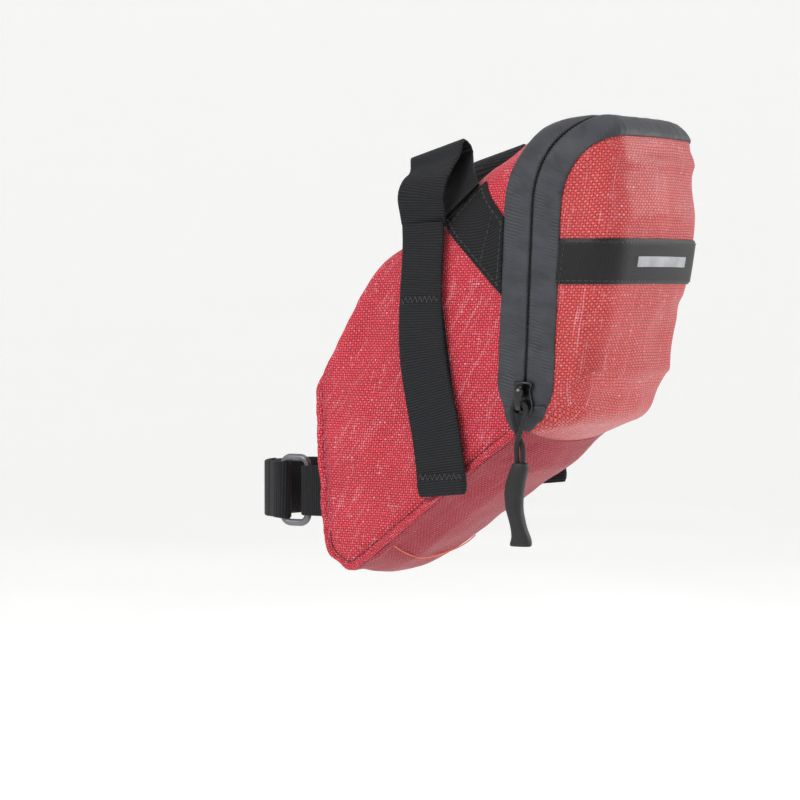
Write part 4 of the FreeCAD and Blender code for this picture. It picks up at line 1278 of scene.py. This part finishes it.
SLIDER_AT = np.array((zip_at(39.2), 0, 39.2))
UP = np.array((math.sin(ZIP_LEAN), 0, math.cos(ZIP_LEAN)))
ACROSS_ZIP = np.array((UP[2], 0, -UP[0]))
PLATE = ((0, 6.3), (3.4, 6.1), (3.9, 5.2), (3.3, 3.4), (3.4, 1.4), (4.1, -1.0), (4.4, -3.2), (3.8, -5.2),
         (2.2, -6.2), (0, -6.0))  # right half of the slider's outer plate, broad where the tapes part
LEVELS = ((-39.85, 0.93), (-39.95, 0.99), (-40.4, 1.0), (-40.9, 0.985), (-41.15, 0.94), (-41.25, 0.86),
          (-41.05, 0.74), (-40.95, 0.4))  # distance out, size


def read_work(work):
    """A bmesh's points and faces."""
    work.verts.index_update()
    found = np.array([v.co[:] for v in work.verts]), [tuple(v.index for v in f.verts) for f in work.faces]
    work.free()
    return found


def boxed(out, half, soften, rise=0.0):
    """A small block with softened edges, set square to the zip."""
    work = bmesh.new()
    bmesh.ops.create_cube(work, size=2)
    centre = SLIDER_AT + (0, out, 0) + UP * rise
    for v in work.verts:
        x, y, z = (c * h for c, h in zip(v.co, half))
        v.co = Vector(centre + x * ACROSS_ZIP + z * UP + np.array((0, y, 0)))
    bmesh.ops.bevel(work, geom=list(work.edges), offset=soften, segments=2, affect="EDGES", profile=0.5)
    return read_work(work)


mirrored = [(-x, y) for x, y in PLATE[-2:0:-1]]
outline = resampled([mirrored[-1], *PLATE, *mirrored], 0.25)[:-1]
across, up = outline[:, :1] * ACROSS_ZIP, outline[:, 1:] * UP
plate = capped([SLIDER_AT + (across + up) * size + (0, y, 0) for y, size in LEVELS])
neck, wing = boxed(-38.9, (0.25, 1.3, 3.4), 0.08), boxed(-36.3, (3.4, 0.55, 4.9), 0.3)
flange = boxed(-41.2, (3.7, 0.38, 0.42), 0.25, 5.55)
piece("slider_body", *joined([plate, neck, wing, flange]), slider_metal, "slider", "slider_metal",
      "zip_slider")

ARCH = ((116.3, -41.3, 44.0), (116.4, -43.4, 43.6), (116.4, -44.6, 42.2), (116.4, -44.85, 40.4),
        (116.4, -44.9, 38.6), (116.4, -44.9, 37.0), (116.4, -44.75, 35.8), (116.35, -44.2, 35.1),
        (116.3, -42.6, 34.95), (116.3, -41.3, 34.95))
arch = resampled(ARCH, 0.35)
wide, way = np.array((1.0, 0, 0)), turns(14)
normal = np.cross(unit(np.gradient(arch, axis=0)), wide)
breadth = (1.15 + 0.55 * spot(arch[:, 2], 41.2, 2.2))[:, None, None]
bridge = capped(arch[:, None] + way[:, :1] * breadth * wide + way[:, 1:] * 0.5 * normal[:, None])
work = bmesh.new()
bmesh.ops.create_uvsphere(work, u_segments=24, v_segments=16, radius=1)
for v in work.verts:
    v.co = Vector((116.45 + v.co[0] * 1.62, -43.2 + v.co[1] * 2.1, 41.3 + v.co[2] * 2.1))
piece("slider_bridge", *joined([bridge, read_work(work)]), slider_metal, "slider", "slider_metal",
      "slider_crown")

CORD_LENGTH, CORD_RADIUS = 0.0508, 0.001
CORD_ROUTE = [(116.0, -43.9, 14.6), (115.6, -43.8, 18.0), (115.7, -44.2, 21.6), (117.0, -44.8, 25.6),
              (118.9, -44.2, 30.6), (119.5, -43.2, 37.3), (113.1, -43.2, 37.3), (113.5, -42.9, 30.6),
              (115.3, -42.4, 25.6), (117.6, -42.9, 21.6), (118.2, -43.6, 18.0), (118.1, -43.9, 14.6)]
curve = bpy.data.curves.new("pull_cord_loop", "CURVE")
curve.dimensions = "3D"
spline = curve.splines.new("NURBS")
spline.points.add(len(CORD_ROUTE) - 1)
for point, place in zip(spline.points, CORD_ROUTE):
    point.co = (*(v * MM for v in place), 1)
spline.order_u = 3
spline.use_endpoint_u = True
spline.resolution_u = 10
curve.bevel_depth, curve.bevel_resolution, curve.use_fill_caps = CORD_RADIUS, 4, True
curve.materials.append(black_cord)
cord = attached(placed("pull_cord_loop", curve), "pull", "pull_cord")

GRIP = ((117.05, 15.4, 2.5, 2.0), (117.05, 14.9, 3.0, 2.4), (117.0, 13.8, 3.3, 2.6), (116.2, 11.0, 3.6, 2.8),
        (115.3, 8.0, 3.7, 2.95), (114.8, 5.0, 3.7, 3.0), (114.6, 1.5, 3.45, 2.95), (114.9, -2.0, 3.2, 2.9),
        (115.7, -5.2, 3.0, 2.85), (116.6, -8.5, 3.0, 2.8), (117.3, -11.0, 3.35, 2.85), (117.6, -12.5, 3.7, 2.9),
        (117.5, -14.2, 4.1, 2.8), (117.4, -15.0, 4.2, 2.6), (117.4, -15.4, 3.8, 2.2))
# Each row above is x, z, half width and half depth.
GRIP_Y, SQUARENESS = -43.9, 2.6
dense = resampled(GRIP, 0.6)
way = turns(28)
way = np.sign(way) * np.abs(way) ** (2 / SQUARENESS)
rings = in_side(dense[:, :2], GRIP_Y)[:, None] + way * dense[:, None, 2:] @ np.eye(2, 3)
piece("cord_grip", *capped(rings), rubber, "pull", "grip_rubber", "pull_grip")

# ---------------------------------------------------------------- floor, backdrop, world light and view


def backdrop(name, z, material):
    """A round floor that curves up into a wall."""
    rise = [(2.2 + 1.6 * math.sin(a), z + 1.6 * (1 - math.cos(a)))
            for a in np.radians(np.linspace(0, 90, 14))]
    profile = [(0.0, z), (1.2, z), (2.2, z), *rise, (3.8, z + 2.4)]
    work = bmesh.new()
    verts = [work.verts.new((r, 0, h)) for r, h in profile]
    edges = [work.edges.new(pair) for pair in zip(verts, verts[1:])]
    bmesh.ops.spin(work, geom=verts + edges, cent=(0, 0, 0), axis=(0, 0, 1), angle=2 * math.pi, steps=72)
    bmesh.ops.remove_doubles(work, verts=work.verts, dist=1e-4)
    work.normal_update()
    if max(work.faces, key=lambda f: abs(f.normal.z)).normal.z < 0:
        bmesh.ops.reverse_faces(work, faces=work.faces)
    mesh = bpy.data.meshes.new(name)
    work.to_mesh(mesh)
    work.free()
    mesh.polygons.foreach_set("use_smooth", [True] * len(mesh.polygons))
    mesh.materials.append(material)
    placed(name, mesh)


def floor_paint():
    """White, faintly glowing, and clear from behind."""
    paint = Paint("floor", (0.90, 0.90, 0.89), 0.9, spec=0.1)
    paint.set("Emission Color", (1, 1, 1))
    paint.set("Emission Strength", 0.22)
    x, y, z = paint.place()
    cloud = paint.noise(x * 0.004, y * 0.004, z, detail=3.0)
    paint.blended(cloud.ramp(0.3, 0.7), (0.88, 0.88, 0.875), (0.91, 0.91, 0.905))
    clear = Num(paint.tree, paint.node("BsdfTransparent").outputs[0])
    behind = Num(paint.tree, paint.node("NewGeometry").outputs["Backfacing"])
    either = paint.node("MixShader", [(0, behind), (1, Num(paint.tree, paint.shader.outputs[0])), (2, clear)])
    output = next(n for n in paint.tree.nodes if n.type == "OUTPUT_MATERIAL")
    paint.tree.links.new(either.outputs[0], output.inputs["Surface"])
    return paint.material


FLOOR_Z, WORLD_LIGHT = -0.16, 0.6
backdrop("floor", FLOOR_Z, floor_paint())
world = bpy.data.worlds.new("world")
scene.world = world
world.use_nodes = True
world.node_tree.nodes["Background"].inputs["Color"].default_value = (1.0, 1.0, 1.0, 1)
world.node_tree.nodes["Background"].inputs["Strength"].default_value = WORLD_LIGHT
scene.view_settings.view_transform = "Standard"
